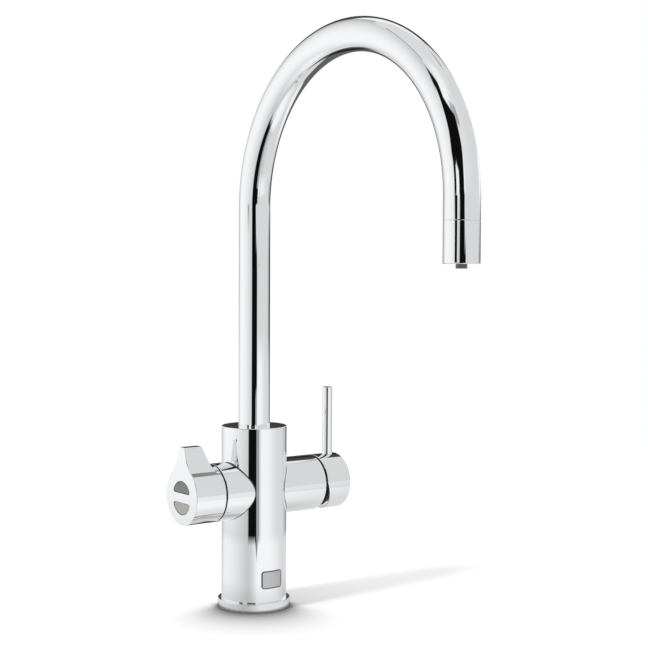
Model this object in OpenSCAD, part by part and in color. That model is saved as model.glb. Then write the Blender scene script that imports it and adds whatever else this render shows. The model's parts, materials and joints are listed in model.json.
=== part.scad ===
// Kitchen mixer tap with a swivelling gooseneck spout, a side mixer lever and a filtered water handle.
// +Z is up, the spout points along -Y, the filter handle is on -X and the mixer lever on +X.
// The origin is the centre of the flange's underside, where it rests on the deck.

/* [Deck flange] */
// Diameter of the flange at the foot of the column
ring_d = 53.6; // [53:0.2:62]
// Height of the flange
ring_h = 6; // [5.5:0.25:10]
// Thickness of the lip under the column's spigot
lip_h = 2.6; // [2.4:0.1:3]
// Width of the rubber seal under the flange
seal_w = 3; // [2:0.25:3.5]
// Depth of the rubber seal's groove
seal_h = 1.2; // [0.8:0.1:1.4]

/* [Column] */
// Diameter of the column
column_d = 48; // [47:0.25:50]
// Height of the column's top above the deck
column_top = 133.7; // [126:0.5:160]
// Height of both controls' axis above the deck
axis_z = 86.8; // [80:0.2:92]
// Step in radius from the column to its spigot in the flange
spigot_step = 2; // [1.5:0.25:3]
// Length of the badge plate
badge_w = 17.4; // [10:0.2:20]
// Height of the badge plate
badge_h = 13; // [8:0.25:18]
// Height of the badge plate's centre above the deck
badge_z = 22.8; // [18:0.2:40]

/* [Fixing under the deck] */
// Thickness of the worktop that the tap is clamped to
deck_t = 30; // [12:1:40]
// Outside diameter of the threaded shank
shank_d = 33; // [32:0.25:34]
// Bore of the shank, where the hoses pass
shank_bore = 27; // [25:0.5:28]
// Length of the shank below the deck
shank_len = 58; // [56:1:80]
// Length of the shank's thread inside the column
shank_grip = 10; // [8:0.5:14]
// Outside diameter of the washers under the deck
washer_d = 50; // [46:0.5:60]
// Thickness of the rubber washer
rubber_t = 3; // [2:0.25:4]
// Thickness of the steel washer
steel_t = 2; // [1.5:0.25:3]
// Height of the back nut
nut_h = 8; // [6:0.5:10]
// Width of the back nut across its flats
nut_af = 41; // [40:0.5:46]
// Height of the block that takes the hoses
inlet_h = 12; // [10:0.5:16]
// Bore of each inlet bush, which takes a hose's thread
inlet_d = 9; // [8:0.25:9.5]
// Length of each inlet bush
inlet_depth = 9; // [7:0.5:9.5]

/* [Spout] */
// Outside diameter of the spout's tube
tube_d = 23; // [22:0.25:24]
// Wall of the spout's tube
tube_wall = 1.25; // [1:0.05:1.5]
// Distance from the column's axis to the outlet's axis
reach = 223; // [180:1:260]
// Height at which the straight legs meet the arch
spring_z = 294.5; // [280:0.5:340]
// Length of the straight leg above the outlet collar
outlet_leg = 14.7; // [10:0.5:40]
// Height of the outlet collar
collar_h = 26.3; // [24:0.25:34]
// Length of the spout's foot inside the column
foot_len = 35; // [34:0.5:38]
// Half of the spout's swivel, to each side
swivel = 90; // [30:5:120]
// Diameter of the filtered water's nozzle
nozzle_d = 7.2; // [6.6:0.1:8]
// Distance that the nozzle stands below the collar
nozzle_drop = 2.9; // [1:0.1:5]
// Outside diameter of the filtered water's own tube
inner_d = 8; // [7:0.25:8.5]
// Wall of the filtered water's own tube
inner_wall = 1; // [0.8:0.05:1.1]

/* [Filter control] */
// Diameter of the filter side's housing and of the handle's round part
hub_d = 42.4; // [41:0.2:44]
// Distance from the column's axis to the seam behind the handle
hub_end = 37; // [36:0.25:42]
// Length of the handle, from its back to its face
handle_len = 25; // [24:0.2:32]
// Height of the handle's tip above its axis
tip_h = 35.2; // [32:0.2:42]
// Width of the handle's tip
tip_w = 10.2; // [8:0.2:14]
// Radius of the tip's two rounded corners
tip_r = 3.4; // [1:0.1:3.8]
// Radius of the hollow flanks that rise to the tip
flank_r = 24; // [18:0.5:30]
// Depth of the tip from the face to its sloping back
tip_depth = 14.4; // [9:0.2:16]
// Angle of the tip's sloping back from upright
tip_slope = 20.5; // [8:0.5:24]
// Thickness of the wall behind the handle's face
face_t = 2.5; // [2:0.1:3]
// Diameter of the round that both buttons are cut from
button_d = 24.4; // [22:0.2:26]
// Width of the bar between the buttons
button_bar = 6.8; // [4:0.2:8]
// How far the middle of the buttons lies below the controls' axis
button_drop = 1.3; // [0:0.1:2]
// Travel of each button
button_travel = 0.8; // [0.5:0.1:1]
// Turn of the handle to each side
filter_turn = 35; // [20:1:50]
// Diameter of the handle's spindle
spindle_d = 8; // [7:0.25:9]

/* [Mixer control] */
// Diameter of the mixer side's housing and of the knob
mixer_d = 41.6; // [40.6:0.1:43]
// Distance from the column's axis to the housing's end
stub_end = 52; // [51:0.25:56]
// Gap between the housing and the knob at the top
knob_gap = 1.3; // [0.8:0.1:1.5]
// Length of the knob
knob_len = 21.7; // [20:0.1:28]
// Angle of the cut under the knob that leaves room for its tilt
relief_angle = 15.5; // [15:0.25:18]
// Tilt of the knob when the water runs fully
flow_tilt = 18; // [10:1:18]
// Turn of the knob to each side, from cold to hot
temperature_turn = 45; // [30:1:50]
// Diameter of the pin lever
pin_d = 7.4; // [6:0.1:9]
// Height of the pin lever above the knob
pin_len = 51.3; // [30:0.5:70]
// Distance from the knob's end to the pin lever's axis
pin_from_end = 7; // [5.5:0.25:9]
// Wall of the mixer side's housing outside the ceramic cartridge
mixer_wall = 3.4; // [3.2:0.1:3.8]
// Width of the square lever stem
stem_w = 8; // [7:0.1:8]

/* [Fits] */
// Radial gap between two parts that are fixed together
fit_gap = 0.1; // [0.05:0.01:0.14]
// Radial gap between a part that turns and its bearing
run_gap = 0.06; // [0.03:0.01:0.09]
// Width of the joint line where a housing meets the column
joint_gap = 0.15; // [0.1:0.01:0.25]
// Gap behind the filter handle
handle_gap = 0.8; // [0.4:0.05:1]
// Rounding of the outer rims
rim_r = 0.6; // [0.3:0.1:0.8]

/* [Hidden] */
$fn = 96;

// Amount by which a cut runs past the surface that it opens
cut = 1;
// Amount by which two arcs that meet smoothly cross, so that their meeting point is a clear one
cross = 0.03;

// Column and flange
column_r = column_d / 2;
spigot_r = column_r - spigot_step;
seal_r = (shank_d / 2 + ring_d / 2) / 2;

// Shank and the block above it
shank_r = shank_d / 2;
hose_r = shank_bore / 2;
shank_top = lip_h + shank_grip;
block_r = (shank_r + hose_r) / 2;
inlet_top = shank_top + inlet_h;
bush_wall = 1.1;
bush_r = inlet_d / 2 + bush_wall;
bush_edge = 0.3;
inlet_circle = hose_r - bush_r - bush_edge;
filter_inlet_at = 90;
cold_inlet_at = 210;
hot_inlet_at = 330;

// Spout
tube_r = tube_d / 2;
tube_in = tube_r - tube_wall;
bend_r = reach / 2;
collar_top = spring_z - outlet_leg;
outlet_z = collar_top - collar_h;
inner_r = inner_d / 2;
socket_floor = column_top - foot_len;
tube_sunk = 2;
tube_seat = column_top - tube_sunk;
foot_gap = 0.3;
foot_r = tube_r - 0.15;
foot_bore = 7;
groove_depth = 1.6;
groove_r = foot_r - groove_depth;
land_h = 2;
slide_h = 4;
o_ring_r = 0.84;
o_groove_h = 2.3;
upper_slide_z = tube_seat - land_h - slide_h;
upper_seal_z = upper_slide_z - land_h - o_groove_h;
lower_seal_z = upper_seal_z - land_h - o_groove_h;
stop_r = 2;
stop_gap = 0.3;
stop_groove_h = 2 * (stop_r + stop_gap);
stop_z = socket_floor + land_h + stop_groove_h / 2;
lower_slide_z = stop_z + stop_groove_h / 2 + land_h;
stop_floor_r = 9;
stop_tip = stop_floor_r + stop_gap;
stop_half = swivel + asin((stop_r + stop_gap) / stop_tip);

// Outlet
spigot_h = 6.5;
spigot_wall = 1.7;
collar_wall = 1.6;
aerator_r = tube_r - collar_wall;
aerator_sunk = 1.6;
aerator_z = outlet_z + aerator_sunk;
aerator_top = outlet_z + collar_h / 2;
aerator_washer_h = 1.6;
aerator_wall = 1.1;
nozzle_r = nozzle_d / 2;
nozzle_bore_r = 1.9;
nozzle_bottom = outlet_z - nozzle_drop;
nozzle_shoulder = aerator_top + 0.6;
nozzle_spigot_h = 9;
inner_end = nozzle_shoulder + 0.3;

// Filter control, whose pieces lie at negative x
hub_r = hub_d / 2;
seat_depth = 7;
hub_seat = column_r - seat_depth;
hub_wall = 6;
hub_spigot_r = hub_r - hub_wall;
hub_spigot_wall = 3;
valve_r = hub_spigot_r - hub_spigot_wall;
valve_nut_h = 2.6;
valve_nut_sunk = 0.4;
valve_end = hub_end - valve_nut_sunk - valve_nut_h;
valve_nose_r = 9.5;
valve_nose_end = hub_end + 1.8;
handle_back = hub_end + handle_gap;
handle_face = handle_back + handle_len;
handle_wall = 3.6;
cavity_r = hub_r - handle_wall;
cavity_end = handle_face - face_t;
spindle_r = spindle_d / 2;
frame_t = 3;
pad_t = 1.2;
board_t = 1.6;
pad_x = cavity_end - frame_t;
board_x = pad_x - pad_t;
insert_front = board_x - board_t;
insert_sunk = 3.2;
insert_back = handle_back + insert_sunk;
screw_x = (insert_front + insert_back) / 2;
grub_r = 2;
flat_depth = 0.8;
flat_z = spindle_r - flat_depth;
spindle_gap = 0.3;
spindle_end = insert_front - 1;
spindle_start = hub_seat + 4;
handle_stop_r = 1.3;
handle_stop_at = 7;
handle_stop_gap = 0.3;
handle_stop_end = insert_back + 1.6;
handle_slot_r = handle_stop_r + handle_stop_gap;
handle_slot_half = filter_turn + asin(handle_slot_r / handle_stop_at);
hub_washer_r = (cavity_r + hub_r) / 2;
hub_washer_w = 2;
hub_washer_sunk = 1.2;

// Buttons
button_r = button_d / 2;
button_corner = 1.8;
button_gap = 0.25;
button_sunk = 0.3;
flange_w = 0.8;
flange_front = cavity_end - 0.2;
flange_back = flange_front - 1.1;
dome_h = flange_back - pad_x - button_travel - 0.15;

// Mixer control, whose pieces lie at positive x
stub_r = mixer_d / 2;
cartridge_r = stub_r - mixer_wall;
stub_bore = cartridge_r + fit_gap;
stub_wall = 1.5;
stub_spigot_r = stub_bore + stub_wall;
stub_seat = column_r - seat_depth;
seal_t = 1.2;
base_t = 2.8;
disc_t = 3;
base_x = stub_seat + seal_t;
disc_x = base_x + base_t;
slide_x = disc_x + disc_t + 0.05;
nut_sunk = 10;
nut_x = stub_end - nut_sunk;
nut_len = 7;
nut_bore_r = stub_bore + 0.8;
housing_wall = 4.4;
housing_cavity_r = cartridge_r - housing_wall;
neck_r = housing_cavity_r - 1;
neck_end = nut_x + 5;
neck_wall = 2;
neck_bore_r = neck_r - neck_wall;
turn_stop_r = neck_bore_r + 1.2;
turn_stop_w = 3;
turn_stop_h = 1.6;
turn_stop_gap = 0.2;
turn_stop_half = temperature_turn + asin((turn_stop_w / 2 + turn_stop_gap) / neck_bore_r);
pivot_sunk = 8;
pivot_x = stub_end - pivot_sunk;
ball_x = slide_x + 4.95;
arm = pivot_x - ball_x;
ball_r = 2.9;
disc_side_gap = 3;
disc_slide_r = housing_cavity_r - disc_side_gap;
disc_travel = arm * flow_tilt * PI / 180;
slide_top = ball_x + 0.3;
carrier_x = ball_x + 0.7;
carrier_shoulder = nut_x - 2.1;
pin_r = 1.5;
stem_half = stem_w / 2;
dome_r = 16.6;
dome_t = 1.2;
dome_x = nut_x + nut_len;
dome_cut = 12;
dome_end = pivot_x + dome_cut;
knob_x = stub_end + knob_gap;
knob_end = knob_x + knob_len;
knob_cavity_r = stub_r - 2.5;
knob_floor = pivot_x + dome_r + 0.9;
lever_x = knob_end - pin_from_end;
lever_r = pin_d / 2;
lever_foot = stub_r - 1.2;
lever_thread_r = 2.5;
lever_thread = 8;
stem_end = knob_end - 3.5;
knob_screw_r = 2.5;
knob_screw_len = 8;

// A cylinder along X on the controls' axis, from x0 to x1
module rod_x(r, x0, x1) {
    translate([x0, 0, axis_z])
        rotate([0, 90, 0])
            cylinder(r = r, h = x1 - x0);
}

// A ring along X on the controls' axis, from x0 to x1
module ring_x(r_out, r_in, x0, x1) {
    difference() {
        rod_x(r_out, x0, x1);
        rod_x(r_in, x0 - cut, x1 + cut);
    }
}

// Part of a ring along X, to each side of the bearing at by the angle half, measured from straight down
module arc_x(r_out, r_in, x0, x1, at, half) {
    translate([x0, 0, axis_z])
        rotate([0, 90, 0])
            rotate(at - half)
                rotate_extrude(angle = 2 * half)
                    translate([r_in, 0])
                        square([r_out - r_in, x1 - x0]);
}

// An upright ring from z0 to z1
module ring_z(r_out, r_in, z0, z1) {
    difference() {
        translate([0, 0, z0])
            cylinder(r = r_out, h = z1 - z0);
        translate([0, 0, z0 - cut])
            cylinder(r = r_in, h = z1 - z0 + 2 * cut);
    }
}

// An upright disc of height h on z = 0 whose upper rim is rounded by f
module rounded_disc(r, h, f) {
    rotate_extrude()
        difference() {
            square([r, h]);
            translate([r - f, h - f])
                difference() {
                    square(f + cut);
                    circle(r = f, $fn = 32);
                }
        }
}

// The column's outer surface, widened by gap, as a tool that shapes what meets it
module column_tool(gap) {
    translate([0, 0, ring_h])
        cylinder(r = column_r + gap, h = column_top);
}

// Base and fixing

module base_ring() {
    color("silver")
        difference() {
            rounded_disc(ring_d / 2, ring_h, rim_r);
            translate([0, 0, lip_h])
                cylinder(r = spigot_r + fit_gap, h = ring_h);
            translate([0, 0, -cut])
                cylinder(r = shank_r + fit_gap, h = ring_h);
            ring_z(seal_r + seal_w / 2 + fit_gap, seal_r - seal_w / 2 - fit_gap, -cut, seal_h);
        }
}

module base_seal() {
    color("dimgray")
        ring_z(seal_r + seal_w / 2, seal_r - seal_w / 2, 0, seal_h);
}

module column() {
    color("silver")
        difference() {
            union() {
                translate([0, 0, ring_h])
                    rounded_disc(column_r, column_top - ring_h, rim_r);
                translate([0, 0, lip_h])
                    cylinder(r = spigot_r, h = ring_h);
            }
            translate([0, 0, lip_h - cut])
                cylinder(r = shank_r + fit_gap, h = shank_grip + cut);
            translate([0, 0, lip_h])
                cylinder(r = block_r + fit_gap, h = inlet_top - lip_h);
            translate([0, 0, socket_floor])
                cylinder(r = tube_r + run_gap, h = foot_len + cut);
            rod_x(hub_spigot_r + fit_gap, -column_r - cut, -hub_seat);
            rod_x(stub_spigot_r + fit_gap, stub_seat, column_r + cut);
            translate([0, 0, stop_z])
                rotate([-90, 0, 0])
                    cylinder(r = stop_r + fit_gap, h = column_r + cut, $fn = 48);
        }
}

// A rounded rectangle of width w and height h with corners of radius r
module rounded_rectangle(w, h, r) {
    square([w - 2 * r, h], center = true);
    square([w, h - 2 * r], center = true);
    for (x = [-1, 1], y = [-1, 1])
        translate([x * (w / 2 - r), y * (h / 2 - r)])
            circle(r = r, $fn = 32);
}

// The badge's outline, smaller by inset all round, as a prism towards the front
module badge_prism(inset) {
    translate([0, 0, badge_z])
        rotate([90, 0, 0])
            linear_extrude(height = column_d)
                rounded_rectangle(badge_w - 2 * inset, badge_h - 2 * inset, 2.2 - inset);
}

module badge_plate() {
    badge_t = 0.35;
    border_t = 0.6;
    border_w = 0.8;
    seat_r = column_r + 0.03;
    color("gainsboro") {
        difference() {
            intersection() {
                ring_z(seat_r + border_t, seat_r, badge_z - badge_h, badge_z + badge_h);
                badge_prism(0);
            }
            intersection() {
                ring_z(seat_r + border_t + cut, seat_r + badge_t,
                    badge_z - badge_h, badge_z + badge_h);
                badge_prism(border_w);
            }
        }
    }
}

module inlet_block() {
    color("goldenrod")
        difference() {
            translate([0, 0, shank_top])
                cylinder(r = block_r, h = inlet_h);
            for (a = [filter_inlet_at, cold_inlet_at, hot_inlet_at])
                rotate(a)
                    translate([inlet_circle, 0, shank_top - cut])
                        cylinder(r = bush_r + fit_gap, h = inlet_depth + cut, $fn = 48);
        }
}

module inlet_bush(at) {
    color("darkkhaki")
        rotate(at)
            translate([inlet_circle, 0, 0])
                difference() {
                    translate([0, 0, shank_top])
                        cylinder(r = bush_r, h = inlet_depth, $fn = 48);
                    translate([0, 0, shank_top - cut])
                        cylinder(r = inlet_d / 2, h = inlet_depth + 2 * cut, $fn = 48);
                }
}

module filter_inlet_bush() {
    inlet_bush(filter_inlet_at);
}

module cold_inlet_bush() {
    inlet_bush(cold_inlet_at);
}

module hot_inlet_bush() {
    inlet_bush(hot_inlet_at);
}

module shank() {
    chamfer = 1;
    color("goldenrod")
        difference() {
            union() {
                translate([0, 0, chamfer - shank_len])
                    cylinder(r = shank_r, h = shank_len - chamfer + shank_top);
                translate([0, 0, -shank_len])
                    cylinder(r1 = shank_r - chamfer, r2 = shank_r, h = chamfer);
            }
            translate([0, 0, -shank_len - cut])
                cylinder(r = hose_r, h = shank_len + shank_top + 2 * cut);
        }
}

module deck_washer() {
    color("dimgray")
        ring_z(washer_d / 2, shank_r + fit_gap, -deck_t - rubber_t, -deck_t);
}

module clamp_washer() {
    color("silver")
        ring_z(washer_d / 2, shank_r + fit_gap, -deck_t - rubber_t - steel_t, -deck_t - rubber_t);
}

module back_nut() {
    nut_top = -deck_t - rubber_t - steel_t;
    color("goldenrod")
        difference() {
            translate([0, 0, nut_top - nut_h])
                cylinder(r = nut_af / 2 / cos(30), h = nut_h, $fn = 6);
            translate([0, 0, nut_top - nut_h - cut])
                cylinder(r = shank_r + fit_gap, h = nut_h + 2 * cut);
        }
}

module stop_screw() {
    screw_end = column_r - 1.5;
    color("gray")
        translate([0, 0, stop_z])
            rotate([-90, 0, 0])
                difference() {
                    translate([0, 0, stop_tip])
                        cylinder(r = stop_r, h = screw_end - stop_tip, $fn = 48);
                    translate([0, 0, screw_end - 2])
                        cylinder(r = 1.2, h = 2 + cut, $fn = 6);
                }
}

// Spout

// The gooseneck's path swept by a circle of radius r, from z0 up, over and down to z1
module gooseneck(r, z0, z1) {
    translate([0, 0, z0])
        cylinder(r = r, h = spring_z - z0);
    translate([0, -bend_r, spring_z])
        rotate([90, 0, 90])
            rotate_extrude(angle = 180, $fn = 144)
                translate([bend_r, 0])
                    circle(r = r, $fn = 64);
    translate([0, -reach, z1])
        cylinder(r = r, h = spring_z - z1);
}

module spout_tube() {
    color("silver")
        difference() {
            gooseneck(tube_r, tube_seat, collar_top);
            gooseneck(tube_in, tube_seat - cut, collar_top - cut);
        }
}

module spout_foot() {
    color("goldenrod")
        difference() {
            union() {
                translate([0, 0, socket_floor + foot_gap])
                    cylinder(r = foot_r, h = tube_seat - socket_floor - foot_gap);
                translate([0, 0, tube_seat - cut])
                    cylinder(r = tube_in - fit_gap, h = spigot_h + cut);
            }
            translate([0, 0, socket_floor])
                cylinder(r = foot_bore, h = foot_len + spigot_h);
            for (z = [upper_slide_z, lower_slide_z])
                ring_z(tube_r + cut, groove_r, z, z + slide_h);
            for (z = [upper_seal_z, lower_seal_z])
                ring_z(tube_r + cut, groove_r, z, z + o_groove_h);
            translate([0, 0, stop_z - stop_groove_h / 2])
                rotate(90 - stop_half)
                    rotate_extrude(angle = 2 * stop_half)
                        translate([stop_floor_r, 0])
                            square([tube_r, stop_groove_h]);
        }
}

module slide_ring(z) {
    color("whitesmoke")
        ring_z(tube_r, groove_r + run_gap, z + run_gap, z + slide_h - run_gap);
}

module upper_slide_ring() {
    slide_ring(upper_slide_z);
}

module lower_slide_ring() {
    slide_ring(lower_slide_z);
}

module o_ring(z) {
    color("dimgray")
        translate([0, 0, z + o_groove_h / 2])
            rotate_extrude()
                translate([groove_r + o_ring_r + 0.02, 0])
                    circle(r = o_ring_r, $fn = 32);
}

module upper_o_ring() {
    o_ring(upper_seal_z);
}

module lower_o_ring() {
    o_ring(lower_seal_z);
}

module inner_tube() {
    color("lightgray")
        difference() {
            gooseneck(inner_r, socket_floor + cut, inner_end);
            gooseneck(inner_r - inner_wall, socket_floor, inner_end - cut);
        }
}

module outlet_collar() {
    color("silver")
        translate([0, -reach, 0])
            difference() {
                union() {
                    translate([0, 0, collar_top])
                        mirror([0, 0, 1])
                            rounded_disc(tube_r, collar_h, rim_r);
                    translate([0, 0, collar_top - cut])
                        cylinder(r = tube_in - fit_gap, h = spigot_h + cut);
                }
                translate([0, 0, outlet_z - cut])
                    cylinder(r = aerator_r + fit_gap, h = aerator_top + aerator_washer_h - outlet_z + cut);
                translate([0, 0, outlet_z])
                    cylinder(r = tube_in - fit_gap - spigot_wall, h = collar_h + spigot_h + cut);
            }
}

module aerator_washer() {
    color("dimgray")
        translate([0, -reach, 0])
            ring_z(aerator_r, tube_in - spigot_wall, aerator_top, aerator_top + aerator_washer_h);
}

module aerator() {
    rib_t = 0.8;
    rib_sunk = 1;
    rib_h = aerator_top - aerator_z - 2 * rib_sunk;
    seat_r = nozzle_r + fit_gap;
    color("whitesmoke")
        translate([0, -reach, 0]) {
            ring_z(aerator_r, aerator_r - aerator_wall, aerator_z, aerator_top);
            ring_z(seat_r + aerator_wall, seat_r, aerator_z, aerator_top);
            difference() {
                for (a = [0 : 30 : 150])
                    rotate(a)
                        translate([aerator_wall / 2 - aerator_r, -rib_t / 2, aerator_z + rib_sunk])
                            cube([2 * aerator_r - aerator_wall, rib_t, rib_h]);
                translate([0, 0, aerator_z])
                    cylinder(r = seat_r + aerator_wall / 2, h = aerator_top);
            }
        }
}

module filter_nozzle() {
    bore_h = inner_end + nozzle_spigot_h + cut - nozzle_bottom;
    color("slategray")
        translate([0, -reach, 0])
            difference() {
                union() {
                    translate([0, 0, nozzle_bottom])
                        cylinder(r = nozzle_r, h = nozzle_shoulder - nozzle_bottom, $fn = 64);
                    translate([0, 0, nozzle_shoulder - cut])
                        cylinder(r = inner_r - inner_wall - fit_gap, h = nozzle_spigot_h + cut, $fn = 64);
                }
                translate([0, 0, nozzle_bottom - cut])
                    cylinder(r = nozzle_bore_r, h = bore_h, $fn = 48);
            }
}

// Filter control

module filter_hub() {
    color("silver")
        difference() {
            union() {
                difference() {
                    rod_x(hub_r, -hub_end, 0);
                    column_tool(joint_gap);
                }
                rod_x(hub_spigot_r, -hub_end + cut, -hub_seat);
            }
            rod_x(valve_r + fit_gap, -hub_end - cut, cut - hub_seat);
            ring_x(hub_washer_r + hub_washer_w / 2 + fit_gap, hub_washer_r - hub_washer_w / 2 - fit_gap,
                -hub_end - cut, hub_washer_sunk - hub_end);
        }
}

module filter_valve() {
    color("goldenrod")
        difference() {
            union() {
                rod_x(valve_r, -valve_end, -hub_seat);
                rod_x(valve_nose_r, -valve_nose_end, cut - valve_end);
                translate([0, 0, handle_stop_at])
                    rod_x(handle_stop_r, -handle_stop_end, -valve_end, $fn = 48);
            }
            rod_x(spindle_r + run_gap, -valve_nose_end - cut, -spindle_start);
        }
}

module valve_nut() {
    color("goldenrod")
        ring_x(valve_r, valve_nose_r + fit_gap, valve_nut_sunk - hub_end, -valve_end);
}

module hub_washer() {
    color("dimgray")
        ring_x(hub_washer_r + hub_washer_w / 2, hub_washer_r - hub_washer_w / 2,
            run_gap - handle_back, hub_washer_sunk - hub_end);
}

module filter_spindle() {
    color("gray")
        difference() {
            rod_x(spindle_r, -spindle_end, -spindle_start - spindle_gap);
            translate([-insert_front, -spindle_r, axis_z - 2 * spindle_r])
                cube([insert_front - insert_back, 2 * spindle_r, 2 * spindle_r - flat_z]);
        }
}

// The handle's outline: a disc that rises by hollow flanks to a tip with rounded corners along +y
module teardrop() {
    corner = [tip_w / 2 - tip_r, tip_h - tip_r];
    to_corner = norm(corner);
    to_flank = hub_r + flank_r - cross;
    between = flank_r + tip_r - cross;
    bearing = atan2(corner[0], corner[1])
        + acos((to_corner ^ 2 + to_flank ^ 2 - between ^ 2) / (2 * to_corner * to_flank));
    flank = [to_flank * sin(bearing), to_flank * cos(bearing)];
    circle(r = hub_r);
    difference() {
        polygon([[0, 0], flank, corner, [-corner[0], corner[1]], [-flank[0], flank[1]]]);
        for (side = [-1, 1])
            translate([side * flank[0], flank[1]])
                circle(r = flank_r, $fn = 144);
    }
    for (side = [-1, 1])
        translate([side * corner[0], corner[1]])
            circle(r = tip_r, $fn = 48);
    translate([-corner[0], corner[1] - tip_r])
        square([2 * corner[0], 2 * tip_r]);
}

// A half moon cut from a circle of radius r above the line y = bar, with its corners rounded by c
module half_moon(r, bar, c) {
    corner_y = bar + c;
    corner_x = sqrt((r - c + cross) ^ 2 - corner_y ^ 2);
    away = 2 * r / (r - c);
    intersection() {
        circle(r = r);
        union() {
            polygon([
                [-corner_x, bar], [corner_x, bar], [corner_x, corner_y],
                [corner_x * away, corner_y * away], [0, 3 * r], [-corner_x * away, corner_y * away],
                [-corner_x, corner_y]
            ]);
            for (side = [-1, 1])
                translate([side * corner_x, corner_y])
                    circle(r = c, $fn = 32);
        }
    }
}

// An outline drawn in the handle's face, extruded along X from x0 to x1
module face_prism(x0, x1) {
    translate([x0, 0, axis_z])
        rotate([90, 0, 90])
            linear_extrude(height = x1 - x0)
                children();
}

// What is drawn for the upper button, where it belongs and mirrored below the middle of the buttons
module both_buttons() {
    translate([0, 0, -button_drop])
        children();
    translate([0, 0, 2 * axis_z - button_drop])
        mirror([0, 0, 1])
            children();
}

module filter_handle() {
    color("silver")
        difference() {
            union() {
                rod_x(hub_r, -handle_face, -handle_back);
                difference() {
                    face_prism(-handle_face, -handle_back)
                        teardrop();
                    translate([-handle_face + tip_depth, 0, axis_z + tip_h])
                        rotate([0, -tip_slope, 0])
                            translate([0, -hub_r, -3 * hub_r])
                                cube([2 * handle_len, 2 * hub_r, 4 * hub_r]);
                }
            }
            rod_x(cavity_r, -cavity_end, -handle_back + cut);
            both_buttons()
                face_prism(-handle_face - cut, -cavity_end + cut)
                    half_moon(button_r, button_bar / 2, button_corner);
            translate([-screw_x, 0, axis_z - hub_r - cut])
                cylinder(r = grub_r + fit_gap, h = hub_r, $fn = 48);
        }
}

module handle_insert() {
    color("gray")
        difference() {
            rod_x(cavity_r - fit_gap, -insert_front, -insert_back);
            rod_x(spindle_r + fit_gap, -spindle_end, -insert_back + cut);
            arc_x(handle_stop_at + handle_slot_r, handle_stop_at - handle_slot_r,
                -handle_stop_end - handle_stop_gap, -insert_back + cut, 180, handle_slot_half);
            translate([-screw_x, 0, axis_z - hub_r - cut])
                cylinder(r = grub_r + fit_gap, h = hub_r, $fn = 48);
        }
}

module handle_grub_screw() {
    screw_low = axis_z - cavity_r - 1;
    color("gray")
        difference() {
            translate([-screw_x, 0, screw_low])
                cylinder(r = grub_r, h = axis_z - flat_z - screw_low, $fn = 48);
            translate([-screw_x, 0, screw_low - cut])
                cylinder(r = 1.15, h = 2.5 + cut, $fn = 6);
        }
}

module button_frame() {
    color("black")
        difference() {
            rod_x(cavity_r - fit_gap, -cavity_end, -pad_x);
            both_buttons()
                face_prism(-cavity_end - cut, -pad_x + cut)
                    half_moon(button_r + flange_w + button_gap,
                        button_bar / 2 - flange_w - button_gap, button_corner);
        }
}

module dome_pad() {
    color("lightgray") {
        rod_x(cavity_r - fit_gap, -pad_x, -board_x);
        for (side = [-1, 1])
            translate([-pad_x - dome_h, 0, axis_z - button_drop + side * (button_r + button_bar / 2) / 2])
                rotate([0, 90, 0])
                    cylinder(r1 = 1.6, r2 = 2.6, h = dome_h + 0.5, $fn = 48);
    }
}

module button_board() {
    color("darkgreen")
        rod_x(cavity_r - fit_gap, -board_x, -insert_front);
}

// One button with the flange that keeps it behind the handle's face
module half_moon_button() {
    face_prism(-handle_face + button_sunk, -flange_front + 0.1)
        half_moon(button_r - button_gap, button_bar / 2 + button_gap, button_corner);
    face_prism(-flange_front, -flange_back)
        half_moon(button_r + flange_w, button_bar / 2 - flange_w, button_corner);
}

module upper_button() {
    color("dimgray")
        translate([0, 0, -button_drop])
            half_moon_button();
}

module lower_button() {
    color("darkgray")
        translate([0, 0, 2 * axis_z - button_drop])
            mirror([0, 0, 1])
                half_moon_button();
}

// Mixer control

module mixer_stub() {
    color("silver")
        difference() {
            union() {
                difference() {
                    rod_x(stub_r, 0, stub_end);
                    column_tool(joint_gap);
                }
                rod_x(stub_spigot_r, stub_seat, stub_end - cut);
            }
            rod_x(stub_bore, stub_seat - cut, stub_end + cut);
            rod_x(nut_bore_r, nut_x, stub_end + cut);
        }
}

module cartridge_seal() {
    color("dimgray")
        ring_x(cartridge_r - fit_gap, housing_cavity_r, stub_seat, base_x);
}

// Three waterways on a circle, as the cutting tools for a disc between x0 and x1
module waterways(x0, x1) {
    way_r = 2.4;
    way_circle = 7;
    for (a = [90, 210, 330])
        translate([0, way_circle * cos(a), way_circle * sin(a)])
            rod_x(way_r, x0 - cut, x1 + cut, $fn = 32);
}

module cartridge_base() {
    color("whitesmoke")
        difference() {
            rod_x(cartridge_r, base_x, disc_x);
            waterways(base_x, disc_x);
        }
}

module cartridge_housing() {
    color("whitesmoke")
        difference() {
            union() {
                rod_x(cartridge_r, disc_x, nut_x);
                rod_x(neck_r, nut_x - cut, neck_end);
            }
            rod_x(housing_cavity_r, disc_x - cut, carrier_shoulder + 0.1);
            rod_x(neck_bore_r, disc_x, neck_end + cut);
            arc_x(turn_stop_r + turn_stop_gap, neck_bore_r - cut, neck_end - turn_stop_h - turn_stop_gap,
                neck_end + cut, 0, turn_stop_half);
        }
}

module fixed_disc() {
    color("white")
        difference() {
            rod_x(housing_cavity_r - fit_gap, disc_x, disc_x + disc_t);
            waterways(disc_x, disc_x + disc_t);
        }
}

module moving_disc() {
    rest_z = -disc_travel / 2;
    color("lightgray")
        difference() {
            translate([0, 0, rest_z])
                rod_x(disc_slide_r, slide_x, slide_top);
            rod_x(ball_r + 0.2, slide_x + 1, slide_top + cut, $fn = 48);
        }
}

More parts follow.
